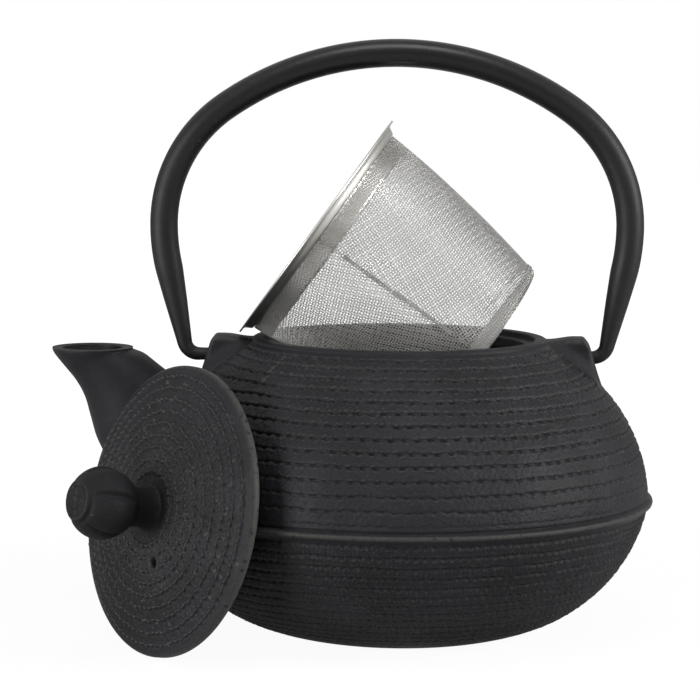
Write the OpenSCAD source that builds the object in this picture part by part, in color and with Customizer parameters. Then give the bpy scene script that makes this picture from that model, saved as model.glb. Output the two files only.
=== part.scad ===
// Cast-iron teapot with a swinging bail, a lift-off lid and a wire infuser basket.
// Millimetres, +Z up. The origin is the middle of the base, on the surface that the pot stands on.
// The spout points to -X and the bail's pivots lie on the X axis.

/* [Pot] */
// Diameter of the belly, without the seam
belly_d = 157.2; // [150:0.2:165]
// Radius of the arc that makes the shoulder, above the seam
shoulder_arc_r = 52; // [50:0.5:54]
// Depth of the middle of the shoulder's arc below the mouth
shoulder_drop = 51.5; // [50.5:0.5:52.5]
// Radius of the arc that makes the flank, below the seam
flank_arc_r = 50.3; // [50.2:0.1:52]
// Height of the middle of the flank's arc
flank_arc_h = 50; // [49:0.1:50.1]
// Thickness of the iron
wall = 3.6; // [3:0.2:4.4]
// Height of the mould seam round the belly
seam_h = 41.5; // [40:0.5:43]
// How far the seam stands out from the belly
seam_proud = 1.4; // [0.6:0.1:2]
// Width of the seam
seam_w = 2.2; // [1.4:0.2:3]

/* [Mouth] */
// Height of the top of the lip
mouth_h = 91.5; // [91:0.1:92.5]
// Outer diameter of the lip
lip_d = 92.8; // [91:0.2:94]
// Rounding of the lip's outer edge
lip_round = 1.2; // [0.6:0.1:1.6]
// Depth of the recess that holds the infuser's flange
recess_depth = 2; // [1.6:0.1:2.4]
// Gap all round between the infuser's flange and the wall of the recess
recess_gap = 1.6; // [1.4:0.1:2.2]
// Diameter of the throat below the recess
throat_d = 78.6; // [78.2:0.1:79.2]
// Thickness of the ledge round the throat
ledge_t = 3.6; // [3:0.1:4]

/* [Spout] */
// Distance from the pot's axis to the middle of the spout's mouth
spout_reach = 96.7; // [95:0.1:98]
// Depth of the spout's mouth below the pot's mouth
spout_drop = 4.1; // [3:0.1:5.5]
// Outer diameter of the spout's mouth
spout_d = 25.4; // [24:0.2:27]
// Thickness of the spout's iron at its mouth
spout_wall = 3.2; // [2.6:0.1:3.8]
// Radius of the spout where it leaves the belly
spout_root_r = 21; // [19:0.5:22]
// Distance from the pot's axis to the middle of the spout's root
spout_root_reach = 68; // [66:0.5:70]
// Height of the middle of the spout's root
spout_root_h = 54.5; // [52:0.5:57]
// Half the spout's width where it leaves the belly
spout_root_half_w = 13.5; // [13:0.5:18]

/* [Ears] */
// Depth of the bail's pivots below the mouth
pivot_drop = 6; // [5.5:0.1:6.5]
// Distance from the pot's axis to an ear's outer face, at the pivot
ear_reach = 60.6; // [60:0.1:61]
// Height of the top of an ear above the mouth
ear_rise = 0.4; // [0:0.1:0.9]
// Thickness of an ear
ear_t = 11; // [9:0.5:13]
// How far an ear's outer face leans out for each millimetre down
ear_lean = 0.3; // [0.2:0.05:0.35]
// Rounding of an ear's top corner
ear_round = 2.6; // [1.5:0.1:3]
// Depth of the dip between an ear's top and the lip
ear_dip = 1; // [0.5:0.1:1.4]
// How far the foot of an ear's outer face lies below the pivots
ear_foot_drop = 8; // [7:0.5:9]

/* [Bail] */
// Diameter of the bail's tube
bail_d = 8.7; // [7.5:0.1:9.5]
// Thickness of the tube's sheet
bail_wall = 1.2; // [0.8:0.1:1.4]
// Half the width of the bail, to the middle of its tube
bail_half_w = 72.9; // [72:0.1:74]
// Height of the middle of the tube at the top of the bail above the pivots
bail_rise = 94.5; // [93:0.5:98]
// Radius of the bail's top arc
bail_top_arc_r = 93.7; // [92:0.1:96]
// Radius of the bail's shoulder arcs
bail_side_arc_r = 44.8; // [43:0.1:47]
// Radius of the arcs where the legs turn in
bail_leg_arc_r = 60; // [50:1:70]
// Angle at which the legs lean in
bail_leg_lean = 13.3; // [12:0.1:14]
// Diameter of the tube half way down its drawn-down leg
leg_mid_d = 7.2; // [6:0.1:8]
// Place of that half-way point down the leg
leg_mid_share = 0.42; // [0.3:0.02:0.6]
// Diameter of the hook at the end of a leg
hook_d = 4.7; // [4.4:0.1:5.4]
// Inner bend of the hook, to the middle of its rod
hook_bend_r = 3.2; // [3:0.1:3.6]
// Diameter of the hook's pin
pin_d = 3.9; // [3.4:0.1:4.2]
// Length of the hook's pin
pin_len = 7; // [6.6:0.1:7.4]
// Gap all round a pin in its ear
pin_gap = 0.08; // [0.03:0.01:0.1]
// How far the bail has slid in its ears, towards the spout
bail_slide = 1.3; // [0:0.1:1.3]
// Gap between an ear and the hook nearer to it
hook_gap = 0.5; // [0.3:0.1:0.8]

/* [Lid] */
// Diameter of the lid
lid_d = 87.2; // [86.6:0.2:88.6]
// Height of the lid's edge
lid_edge_h = 2.4; // [2:0.1:3]
// Height of the lid's middle above its rim
lid_rise = 9; // [8:0.1:10]
// How far the lid's top bows out between its edge and its middle
lid_bow = 1.1; // [0.4:0.1:1.6]
// Thickness of the lid
lid_wall = 3; // [2.4:0.1:3.4]
// Diameter of the flat that carries the knob
lid_land_d = 15; // [14:0.5:17]
// Width of the lid's seat, which rests on the lip
seat_w = 3.4; // [2.8:0.1:4]
// Gap all round between the lid's locating ring and the infuser's skirt
ring_gap = 0.9; // [0.5:0.1:1.3]
// Thickness of the locating ring
ring_wall = 2.4; // [1.8:0.1:3]
// How far the locating ring drops below the lid's rim
ring_drop = 2.6; // [1.5:0.1:3]
// Diameter of the vent
vent_d = 3.6; // [3:0.1:4.4]
// Distance from the lid's middle to the vent
vent_reach = 16.3; // [14:0.1:20]
// Place of the vent round the lid
vent_turn = 20; // [0:1:90]

/* [Knob] */
// Diameter of the knob's bud
bud_d = 22.4; // [21:0.1:24]
// Diameter of the knob's neck
neck_d = 13.4; // [12:0.1:14]
// Length of the neck, to the bud
neck_len = 7; // [5:0.1:8]
// Width of the flat rosette on top of the bud
rosette_d = 11; // [9:0.1:13]
// Number of petals round the bud
petals = 5; // [4:1:7]
// Width of the slits between the petals
slit_w = 0.9; // [0.5:0.1:1.4]
// Depth of the slits
slit_depth = 0.7; // [0.4:0.1:1]
// Diameter of the knob's screw
screw_d = 4; // [3:0.5:5]
// Length of thread in the knob
thread_len = 9; // [6:0.5:12]
// Gap all round the thread in the knob
thread_gap = 0.05; // [0.03:0.01:0.1]
// Diameter of the screw's head
head_d = 8; // [7:0.1:9]
// Height of the screw's head
head_h = 2.2; // [1.8:0.1:2.4]
// Diameter of the washer under the lid
washer_d = 12; // [10:0.5:13]
// Thickness of the washer
washer_t = 1; // [0.6:0.1:1.2]
// Gap all round the screw in the lid and the washer
screw_gap = 0.3; // [0.2:0.05:0.5]

/* [Infuser] */
// Diameter of the infuser's flange
flange_d = 81.4; // [80.4:0.2:82]
// Width of the flat part of the flange
flange_flat = 1.6; // [1:0.1:2]
// Thickness of the flange's sheet
sheet_t = 0.6; // [0.4:0.1:0.8]
// Depth at which the wire mesh starts
mesh_start = 3; // [2.6:0.1:3.4]
// Radius of the mesh where it starts
mesh_top_r = 37.1; // [36.7:0.1:37.4]
// Radius of the mesh where it meets the floor
mesh_foot_r = 28.8; // [28:0.1:29]
// How far the mesh bulges out half way down
mesh_bulge = 1.3; // [0.6:0.1:1.5]
// Depth of the whole basket
basket_depth = 64.4; // [61:0.1:65]
// Depth of the skirt inside the mesh
skirt_depth = 8.8; // [7:0.2:12]
// Thickness of the woven mesh
mesh_t = 0.7; // [0.5:0.1:0.8]
// Height of the floor's folded hem
hem_h = 3.4; // [2.8:0.1:5]
// Rounding of the basket's bottom edge
foot_round = 2.6; // [2:0.1:3]
// Gap between the layers of the basket
layer_gap = 0.05; // [0.03:0.01:0.1]
// Openings round the basket's wall
grid_cols = 20; // [16:1:24]
// Width of the bars between the basket's openings
grid_bar = 1.6; // [1.2:0.1:2.4]
// Distance between the middles of the openings in the basket's floor
grid_pitch = 9; // [8.5:0.1:9.5]

/* [Rest pose] */
// Where the lid leans: its rim's middle along X
lid_x = -67; // [-70:0.1:-66.5]
// Where the lid leans: its rim's middle along Y
lid_y = -44.2; // [-50:0.1:-44.2]
// How far the lid's axis rises above level
lid_tilt = 11; // [9:0.1:13]
// Direction in which the lid's axis points, round from -X towards -Y
lid_turn = 38.3; // [34:0.1:42]
// Where the infuser is propped: its rim's middle along X
infuser_x = -26.8; // [-28:0.1:-26.5]
// Height of the middle of the propped infuser's rim above the mouth
infuser_lift = 34.5; // [34.5:0.1:35.5]
// Angle between the propped infuser's axis and the pot's
infuser_tilt = 54.5; // [54:0.1:55.5]

/* [Hidden] */

over = 1;                 // how far a cut runs past a face
round_fn = 128;           // sides of large rounds
small_fn = 48;            // sides of small rounds
arc_steps = 18;           // points along an outline's arc
wall_steps = 8;           // bands of the basket's bulging wall

shoulder_arc_h = mouth_h - shoulder_drop;
spout_h = mouth_h - spout_drop;
pivot_h = mouth_h - pivot_drop;
ear_top_h = mouth_h + ear_rise;
bail_top_h = pivot_h + bail_rise;
infuser_h = mouth_h + infuser_lift;

belly_r = belly_d / 2;
lip_r = lip_d / 2;
throat_r = throat_d / 2;
flange_r = flange_d / 2;
recess_r = flange_r + recess_gap;
ledge_h = mouth_h - recess_depth;
ledge_under_h = ledge_h - ledge_t;
shoulder_x = belly_r - sqrt(pow(shoulder_arc_r, 2) - pow(seam_h - shoulder_arc_h, 2));
flank_x = belly_r - sqrt(pow(flank_arc_r, 2) - pow(seam_h - flank_arc_h, 2));

pin_r = pin_d / 2;
bail_r = bail_d / 2;
ear_face_x = ear_reach + pin_r * ear_lean;
hook_x = ear_face_x + hook_gap + bail_slide;
pin_tip_x = hook_x - pin_len;
ear_bore_x = pin_tip_x - bail_slide - hook_gap;

lid_r = lid_d / 2;
land_r = lid_land_d / 2;
knob_foot = lid_rise;
bud_r = bud_d / 2;
bud_mid = knob_foot + neck_len + sqrt(pow(bud_r, 2) - pow(neck_d / 2, 2));
screw_r = screw_d / 2;
washer_top = lid_rise - lid_wall;

skirt_r = mesh_outer(skirt_depth) - mesh_t - layer_gap;
ring_r = skirt_r - sheet_t - ring_gap;
wall_foot = basket_depth - mesh_t - layer_gap - foot_round / 2;

// Outer radius of the mesh at a depth below the flange
function mesh_outer(depth) =
    let (t = (depth - mesh_start) / (basket_depth - mesh_start))
    mesh_top_r - (mesh_top_r - mesh_foot_r) * t + 4 * mesh_bulge * t * (1 - t);

// Points on an arc round [x, y], from one angle to another
function arc(x, y, r, from, to, steps = arc_steps) =
    [for (i = [0:steps]) let (a = from + (to - from) * i / steps) [x + r * cos(a), y + r * sin(a)]];

// Half outline of the pot's outer or inner skin, inset by a distance from the outer skin
function skin(inset, low, high, top_r) =
    let (shoulder = shoulder_arc_r - inset, flank = flank_arc_r - inset)
    concat(
        [[0, low]],
        arc(flank_x, flank_arc_h, flank, -asin((flank_arc_h - low) / flank),
            asin((seam_h - flank_arc_h) / flank)),
        arc(shoulder_x, shoulder_arc_h, shoulder, asin((seam_h - shoulder_arc_h) / shoulder),
            acos((top_r - shoulder_x) / shoulder)),
        [[top_r, high], [0, high]]);

// ---------- pot body ----------

// The spout's cross-sections, each as its place between root and mouth along X and along Z,
// its half height, its half width and its lean
spout_form = [
    [0, 0, spout_root_r, spout_root_half_w, 33],
    [0.244, 0.198, 19.2, 13.2, 31],
    [0.429, 0.368, 17, 12.8, 28.5],
    [0.571, 0.52, 15, 12.5, 26],
    [0.697, 0.672, 13.3, 12.2, 23],
    [0.822, 0.802, 12.2, 12, 20],
    [0.93, 0.903, 11.9, 11.9, 11],
    [1, 1, spout_d / 2, spout_d / 2, 0]];
spout_sections = [for (f = spout_form)
    [-spout_root_reach - f[0] * (spout_reach - spout_root_reach),
     spout_root_h + f[1] * (spout_h - spout_root_h), f[2], f[3], f[4]]];
spout_sides = 40;

// A point on a spout section: the section's oval, thinned by an inset, leans round the Y axis
function section_point(s, inset, a) =
    [s[0] + (s[2] - inset) * cos(a) * cos(s[4]), (s[3] - inset) * sin(a),
     s[1] + (s[2] - inset) * cos(a) * sin(s[4])];

// The spout as one smooth horn, thinned by an inset and stretched past both its ends by an overshoot
module spout_horn(inset, overshoot) {
    root = spout_sections[0];
    rings = overshoot == 0 ? spout_sections : concat(
        [[root[0] + overshoot * sin(root[4]), root[1] - overshoot * cos(root[4]),
          root[2], root[3], root[4]]],
        [for (i = [1:len(spout_sections) - 2]) spout_sections[i]],
        [[-spout_reach, spout_h + overshoot, spout_d / 2, spout_d / 2, 0]]);
    points = [for (s = rings) for (k = [0:spout_sides - 1]) section_point(s, inset, 360 * k / spout_sides)];
    last = len(rings) - 1;
    sides = [for (i = [0:last - 1]) for (k = [0:spout_sides - 1])
        let (n = (k + 1) % spout_sides, a = i * spout_sides, b = a + spout_sides)
        each [[a + k, b + k, b + n], [a + k, b + n, a + n]]];
    root_face = [for (k = [0:spout_sides - 1]) k];
    mouth_face = [for (k = [spout_sides - 1:-1:0]) last * spout_sides + k];
    polyhedron(points = points, faces = concat(sides, [root_face], [mouth_face]), convexity = 4);
}

// The lip and the solid dome of the body, with the seam
module pot_solid() {
    lip_foot = shoulder_arc_h + sqrt(pow(shoulder_arc_r, 2) - pow(lip_r - shoulder_x, 2));
    rotate_extrude($fn = round_fn) polygon(skin(0, 0, lip_foot, lip_r));
    translate([0, 0, lip_foot - wall]) {
        cylinder(r = lip_r, h = mouth_h - lip_round - lip_foot + wall, $fn = round_fn);
        cylinder(r = lip_r - lip_round, h = mouth_h - lip_foot + wall, $fn = round_fn);
    }
    translate([0, 0, mouth_h - lip_round]) rotate_extrude($fn = round_fn)
        translate([lip_r - lip_round, 0]) circle(r = lip_round, $fn = small_fn);
    translate([0, 0, seam_h - seam_w / 2])
        cylinder(r = belly_r + seam_proud, h = seam_w, $fn = round_fn);
}

// The hollow inside: belly, throat and the recess for the infuser's flange
module pot_hollow() {
    rotate_extrude($fn = round_fn)
        polygon(skin(wall, wall, ledge_under_h,
            shoulder_x + sqrt(pow(shoulder_arc_r - wall, 2) - pow(ledge_under_h - shoulder_arc_h, 2))));
    translate([0, 0, ledge_under_h - over])
        cylinder(r = throat_r, h = ledge_t + 2 * over, $fn = round_fn);
    translate([0, 0, ledge_h]) cylinder(r = recess_r, h = recess_depth + over, $fn = round_fn);
}

// One ear's side outline, rising from the shoulder beside the lip
module ear_outline() {
    top_x = ear_reach - (ear_top_h - pivot_h) * ear_lean;
    corner = [top_x - ear_round, ear_top_h - ear_round];
    root_x = lip_r - lip_round;
    polygon([
        [root_x, ear_top_h - ear_dip], [(root_x + corner[0]) / 2, ear_top_h - ear_dip / 2],
        [corner[0], ear_top_h], corner, [corner[0] + ear_round, corner[1]],
        [ear_reach + ear_foot_drop * ear_lean, pivot_h - ear_foot_drop],
        [(root_x + ear_reach) / 2, pivot_h - ear_foot_drop / 2], [root_x, mouth_h - 2 * lip_round]]);
    translate(corner) circle(r = ear_round, $fn = small_fn);
}

module pot_body() color("#333436") difference() {
    union() {
        pot_solid();
        spout_horn(0, 0);
        for (side = [0, 1]) mirror([side, 0, 0])
            translate([0, ear_t / 2, 0]) rotate([90, 0, 0]) linear_extrude(ear_t) ear_outline();
    }
    pot_hollow();
    spout_horn(spout_wall, over);
    for (side = [0, 1]) mirror([side, 0, 0]) translate([ear_bore_x, 0, pivot_h]) rotate([0, 90, 0])
        cylinder(r = pin_r + pin_gap, h = ear_reach, $fn = small_fn);
}

// ---------- bail ----------

bail_top_z = bail_top_h - bail_top_arc_r;
// Angle above level at which the top arc meets a side arc
bail_join = acos((bail_half_w - bail_side_arc_r) / (bail_top_arc_r - bail_side_arc_r));
bail_side_x = bail_half_w - bail_side_arc_r;
bail_side_z = bail_top_z + (bail_top_arc_r - bail_side_arc_r) * sin(bail_join);
bail_leg_x = bail_half_w - bail_leg_arc_r;
leg_top = [bail_leg_x + bail_leg_arc_r * cos(bail_leg_lean),
           bail_side_z - bail_leg_arc_r * sin(bail_leg_lean)];
leg_end = [hook_x + hook_bend_r * cos(bail_leg_lean), pivot_h + hook_bend_r * (1 - sin(bail_leg_lean))];
leg_mid = leg_top * (1 - leg_mid_share) + leg_end * leg_mid_share;

// Stations down one side of the bail, from its top to its hook: [point in XZ, heading, radius]
function stations(x, z, arc_r, r_from, r_to, from, to, steps) =
    [for (i = [0:steps]) let (s = i / steps, a = from + (to - from) * s)
        [[x + arc_r * cos(a), z + arc_r * sin(a)], a - 90, r_from + (r_to - r_from) * s]];
bail_side = concat(
    stations(0, bail_top_z, bail_top_arc_r, bail_r, bail_r, 90, bail_join, 9),
    stations(bail_side_x, bail_side_z, bail_side_arc_r, bail_r, bail_r, bail_join - 5, 0, 9),
    stations(bail_leg_x, bail_side_z, bail_leg_arc_r, bail_r, bail_r, -4, -bail_leg_lean, 2),
    [[leg_mid, -90 - bail_leg_lean, leg_mid_d / 2]]);
bail_hook = stations(hook_x, pivot_h + hook_bend_r, hook_bend_r, hook_d / 2, hook_d / 2,
    -bail_leg_lean, -90, 5);
bail_sides = 20;

// Mirrors a station to the bail's other side
function other_side(s) = [[-s[0][0], s[0][1]], -s[1], s[2]];

// A tube swept along stations, thinned by an inset
module swept_bar(path, inset) {
    points = [for (s = path) for (k = [0:bail_sides - 1])
        let (a = 360 * k / bail_sides, r = s[2] - inset)
        [s[0][0] - r * cos(a) * sin(s[1]), r * sin(a), s[0][1] + r * cos(a) * cos(s[1])]];
    last = len(path) - 1;
    walls = [for (i = [0:last - 1]) for (k = [0:bail_sides - 1])
        let (n = (k + 1) % bail_sides, a = i * bail_sides, b = a + bail_sides)
        each [[a + k, b + n, b + k], [a + k, a + n, b + n]]];
    start_face = [for (k = [bail_sides - 1:-1:0]) k];
    end_face = [for (k = [0:bail_sides - 1]) last * bail_sides + k];
    polyhedron(points = points, faces = concat(walls, [start_face], [end_face]), convexity = 6);
}

module bail() color("#232324") translate([-bail_slide, 0, 0]) {
    arm = [for (i = [len(bail_side) - 1:-1:1]) other_side(bail_side[i])];
    hook = [for (i = [len(bail_hook) - 1:-1:0]) other_side(bail_hook[i])];
    difference() {
        swept_bar(concat(hook, arm, bail_side, bail_hook), 0);
        swept_bar(concat(arm, bail_side), bail_wall);
    }
    for (side = [0, 1]) mirror([side, 0, 0]) translate([pin_tip_x, 0, pivot_h]) rotate([0, 90, 0])
        cylinder(r = pin_r, h = pin_len + hook_bend_r / 2, $fn = small_fn);
}

// ---------- lid and knob, drawn level and then leant on the pot ----------

module lean_lid()
    translate([lid_x, lid_y, lid_r * cos(lid_tilt)])
        rotate([0, 90 - lid_tilt, 180 + lid_turn]) children();

// Height of the lid's top at a radius, before any thickness is taken off
function lid_top(r) =
    let (t = (lid_r - r) / (lid_r - land_r))
    lid_edge_h + (lid_rise - lid_edge_h) * t + 4 * lid_bow * t * (1 - t);

module lid() color("#353536") lean_lid() difference() {
    seat_r = lid_r - seat_w;
    union() {
        rotate_extrude($fn = round_fn) polygon(concat(
            [[0, lid_rise]],
            [for (i = [0:arc_steps]) let (r = land_r + (lid_r - land_r) * i / arc_steps) [r, lid_top(r)]],
            [[lid_r, 0], [seat_r, 0]],
            [for (i = [arc_steps:-1:0]) let (r = land_r + (seat_r - land_r) * i / arc_steps)
                [r, max(0, lid_top(r) - lid_wall)]],
            [[0, washer_top]]));
        rotate_extrude($fn = round_fn)
            translate([ring_r - ring_wall, -ring_drop]) square([ring_wall, ring_drop + lid_wall]);
    }
    translate([0, 0, -over]) cylinder(r = screw_r + screw_gap, h = lid_rise + 2 * over, $fn = small_fn);
    rotate([0, 0, vent_turn]) translate([vent_reach, 0, -over])
        cylinder(d = vent_d, h = lid_rise + 2 * over, $fn = small_fn);
}

module lid_knob() color("#262628") lean_lid() difference() {
    union() {
        translate([0, 0, knob_foot]) cylinder(d = neck_d, h = bud_mid - knob_foot, $fn = small_fn * 2);
        difference() {
            translate([0, 0, bud_mid]) sphere(r = bud_r, $fn = small_fn * 2);
            translate([0, 0, bud_mid + sqrt(pow(bud_r, 2) - pow(rosette_d / 2, 2))])
                cylinder(r = bud_r, h = bud_r, $fn = small_fn);
            difference() {
                for (i = [0:petals - 1]) rotate([0, 0, i * 360 / petals])
                    translate([0, -slit_w / 2, bud_mid - bud_r * 0.7])
                        cube([bud_r * 2, slit_w, bud_r * 1.3]);
                translate([0, 0, bud_mid]) sphere(r = bud_r - slit_depth, $fn = small_fn * 2);
            }
        }
    }
    translate([0, 0, knob_foot - over])
        cylinder(r = screw_r + thread_gap, h = thread_len + 2 * over, $fn = small_fn);
}

module knob_washer() color("silver") lean_lid() translate([0, 0, washer_top - washer_t]) difference() {
    cylinder(d = washer_d, h = washer_t, $fn = small_fn);
    translate([0, 0, -over]) cylinder(r = screw_r + screw_gap, h = washer_t + 2 * over, $fn = small_fn);
}

module knob_screw() color("silver") lean_lid() {
    head_top = washer_top - washer_t;
    shank_h = knob_foot + thread_len - head_top;
    translate([0, 0, head_top]) cylinder(r = screw_r, h = shank_h, $fn = small_fn);
    translate([0, 0, head_top - head_h]) difference() {
        cylinder(d = head_d, h = head_h, $fn = small_fn);
        translate([-head_d, -screw_r / 4, -over]) cube([2 * head_d, screw_r / 2, over + head_h / 2]);
    }
}

// ---------- infuser, drawn hanging in the mouth and then propped in it ----------

module prop_infuser()
    translate([infuser_x, 0, infuser_h]) rotate([0, -infuser_tilt, 0]) children();

module infuser_rim() color("gainsboro") prop_infuser() rotate_extrude($fn = round_fn) polygon([
    [flange_r, 0], [flange_r, -sheet_t], [flange_r - flange_flat, -sheet_t],
    [mesh_top_r + sheet_t / 2, -mesh_start + layer_gap],
    [mesh_top_r - mesh_t - layer_gap, -mesh_start + layer_gap],
    [skirt_r, -skirt_depth], [skirt_r - sheet_t, -skirt_depth],
    [mesh_top_r - mesh_t - layer_gap - sheet_t, -mesh_start + sheet_t],
    [flange_r - flange_flat - sheet_t / 2, 0]]);

// The grid of openings, one in each band of the wall between the skirt and the hem
module wall_openings() {
    band = (wall_foot - mesh_start) / wall_steps;
    for (row = [1:wall_steps - 2], col = [0:grid_cols - 1]) {
        top = mesh_start + band * row;
        wide = 360 / grid_cols * mesh_outer(top + band) * PI / 180 - grid_bar;
        rotate(360 / grid_cols * col)
            translate([mesh_outer(top) - 4 * mesh_t, -wide / 2, grid_bar / 2 - top - band])
            cube([8 * mesh_t, wide, band - grid_bar]);
    }
}

module infuser_wall() color("lightgray") prop_infuser() difference() {
    depths = [for (i = [0:wall_steps]) mesh_start + (wall_foot - mesh_start) * i / wall_steps];
    rotate_extrude($fn = round_fn) polygon(concat(
        [for (d = depths) [mesh_outer(d), -d]],
        [for (i = [wall_steps:-1:0]) [mesh_outer(depths[i]) - mesh_t, -depths[i]]]));
    wall_openings();
}

// The grid of openings in the basket's floor, inside its rounded edge
module floor_openings() {
    wide = grid_pitch - grid_bar;
    reach = floor(mesh_foot_r / grid_pitch) - 1;
    for (x = [-reach:reach], y = [-reach:reach])
        if (norm([x, y]) * grid_pitch + wide < mesh_foot_r)
            translate([x * grid_pitch, y * grid_pitch, -basket_depth]) cube([wide, wide, 4 * mesh_t], center = true);
}

module infuser_floor() color("darkgray") prop_infuser() difference() {
    hem_r = mesh_outer(basket_depth - hem_h) + layer_gap + mesh_t;
    rotate_extrude($fn = round_fn) polygon(concat(
        [[0, -basket_depth]],
        arc(hem_r - foot_round, foot_round - basket_depth, foot_round, -90, 0, 6),
        [[hem_r, hem_h - basket_depth], [hem_r - mesh_t, hem_h - basket_depth]],
        arc(hem_r - foot_round, foot_round - basket_depth, foot_round - mesh_t, 0, -90, 6),
        [[0, mesh_t - basket_depth]]));
    floor_openings();
}

pot_body();
bail();
lid();
lid_knob();
knob_washer();
knob_screw();
infuser_rim();
infuser_wall();
infuser_floor();
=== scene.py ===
import logging
import math
from dataclasses import dataclass, field
from enum import Enum
from typing import Callable, Sequence

import bmesh
import bpy
import numpy as np
from mathutils import Matrix, Vector


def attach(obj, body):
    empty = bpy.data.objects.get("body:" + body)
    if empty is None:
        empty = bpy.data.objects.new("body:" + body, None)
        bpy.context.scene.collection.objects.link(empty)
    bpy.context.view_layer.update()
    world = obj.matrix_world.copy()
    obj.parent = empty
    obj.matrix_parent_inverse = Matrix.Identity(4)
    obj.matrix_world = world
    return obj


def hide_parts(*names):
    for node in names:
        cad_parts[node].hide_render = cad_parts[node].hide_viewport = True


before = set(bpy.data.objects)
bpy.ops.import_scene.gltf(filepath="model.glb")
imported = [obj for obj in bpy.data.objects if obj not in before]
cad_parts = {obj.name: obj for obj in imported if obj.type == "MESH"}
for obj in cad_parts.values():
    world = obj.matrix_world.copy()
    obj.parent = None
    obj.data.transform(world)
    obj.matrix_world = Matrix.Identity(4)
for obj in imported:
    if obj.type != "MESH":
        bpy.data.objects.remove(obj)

MM = 0.001
LOG = logging.getLogger("teapot")
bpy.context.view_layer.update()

Array = np.ndarray
Point = tuple[float, float]
Line = tuple[Array, Array]      # a wire's points and the outward normal at each
AXIS_R = 0.02                   # pinhole at the middle of a turned piece, in millimetres


class Body(Enum):
    """The moving bodies that pieces ride on."""

    POT = "pot"
    BAIL = "bail"
    LID = "lid"
    INFUSER = "infuser"


class Slot(Enum):
    """The record's material slots."""

    IRON = "cast_iron"
    KNOB = "knob_iron"
    PAINT = "bail_paint"
    FASTENER = "fastener_steel"
    FLANGE = "flange_steel"
    MESH = "mesh_steel"


# ---------------------------------------------------------------- mesh making


def smoothstep(x: Array | float, low: Array | float, high: Array | float) -> Array:
    """Ease from 0 at low to 1 at high.

    Args:
        x: Values to ease.
        low: Where the ramp starts.
        high: Where the ramp ends.

    Returns:
        The eased values.
    """
    t = np.clip((x - low) / (high - low), 0.0, 1.0)
    return t * t * (3.0 - 2.0 * t)


def resample(points: Sequence[Sequence[float]], step: float) -> Array:
    """Walk a polyline at even steps and keep its corners close.

    Args:
        points: The polyline's points.
        step: Largest distance between two points of the result.

    Returns:
        The points of the finer polyline.
    """
    pts = np.asarray(points, dtype=float)
    out = [pts[:1]]
    for a, b in zip(pts[:-1], pts[1:]):
        count = max(1, int(math.ceil(np.linalg.norm(b - a) / step)))
        out.append(a + (b - a) * (np.arange(1, count + 1) / count)[:, None])
    return np.concatenate(out)


def arc(cx: float, cy: float, r: float, start: float, end: float, steps: int) -> list[Point]:
    """Points on a flat arc.

    Args:
        cx: Middle along the first axis.
        cy: Middle along the second axis.
        r: Radius.
        start: First angle in degrees.
        end: Last angle in degrees.
        steps: Number of spans.

    Returns:
        The arc's points.
    """
    angles = np.radians(np.linspace(start, end, steps + 1))
    return [(cx + r * math.cos(a), cy + r * math.sin(a)) for a in angles]


def run_length(points: Array) -> Array:
    """Distance of each of a polyline's points from its start, along the line."""
    return np.r_[0, np.cumsum(np.linalg.norm(np.diff(points, axis=0), axis=1))]


def directions(points: Array) -> Array:
    """Unit direction of a polyline at each of its points."""
    tangent = np.gradient(points, axis=0)
    return tangent / np.linalg.norm(tangent, axis=1)[:, None]


def around(r: Array | float, angle: Array, z: Array | float) -> Array:
    """Place points by radius, angle and height.

    Args:
        r: Radius from the Z axis.
        angle: Angle round it, in radians.
        z: Height.

    Returns:
        The points.
    """
    return np.stack([r * np.cos(angle), r * np.sin(angle), z + 0 * angle], -1)


def grid_faces(rows: int, cols: int, wrap_cols: bool, wrap_rows: bool = False) -> Array:
    """Quads of a grid of vertices that is stored row by row.

    Args:
        rows: Number of rows.
        cols: Number of columns.
        wrap_cols: Whether the last column meets the first.
        wrap_rows: Whether the last row meets the first.

    Returns:
        An array of quads.
    """
    i = np.arange(rows if wrap_rows else rows - 1)
    j = np.arange(cols if wrap_cols else cols - 1)
    ii, jj = np.meshgrid(i, j, indexing="ij")
    i2, j2 = (ii + 1) % rows, (jj + 1) % cols
    return np.stack([ii * cols + jj, ii * cols + j2, i2 * cols + j2, i2 * cols + jj], -1).reshape(-1, 4)


def shade_smooth(mesh: bpy.types.Mesh) -> None:
    """Shade all faces of a mesh smooth."""
    mesh.polygons.foreach_set("use_smooth", [True] * len(mesh.polygons))


def new_piece(name: str, verts: Array, faces: Array | list, place: Matrix | None = None,
              outward: bool = True) -> bpy.types.Object:
    """Make a mesh object from points in millimetres.

    Args:
        name: Name of the piece.
        verts: Points in the sub-assembly's own frame, in millimetres.
        faces: Faces as vertex numbers.
        place: Transform from that frame to the model's, in millimetres.
        outward: Whether the normals are made to point outwards.

    Returns:
        The new object, with its place in its mesh.
    """
    pts = np.asarray(verts, dtype=float)
    if place is not None:
        m = np.array(place)
        pts = pts @ m[:3, :3].T + m[:3, 3]
    mesh = bpy.data.meshes.new(name)
    mesh.from_pydata((pts * MM).tolist(), [], faces.tolist() if isinstance(faces, np.ndarray) else faces)
    if outward:
        bm = bmesh.new()
        bm.from_mesh(mesh)
        bmesh.ops.recalc_face_normals(bm, faces=bm.faces)
        bm.to_mesh(mesh)
        bm.free()
    shade_smooth(mesh)
    mesh.update()
    piece = bpy.data.objects.new(name, mesh)
    bpy.context.scene.collection.objects.link(piece)
    return piece


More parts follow.
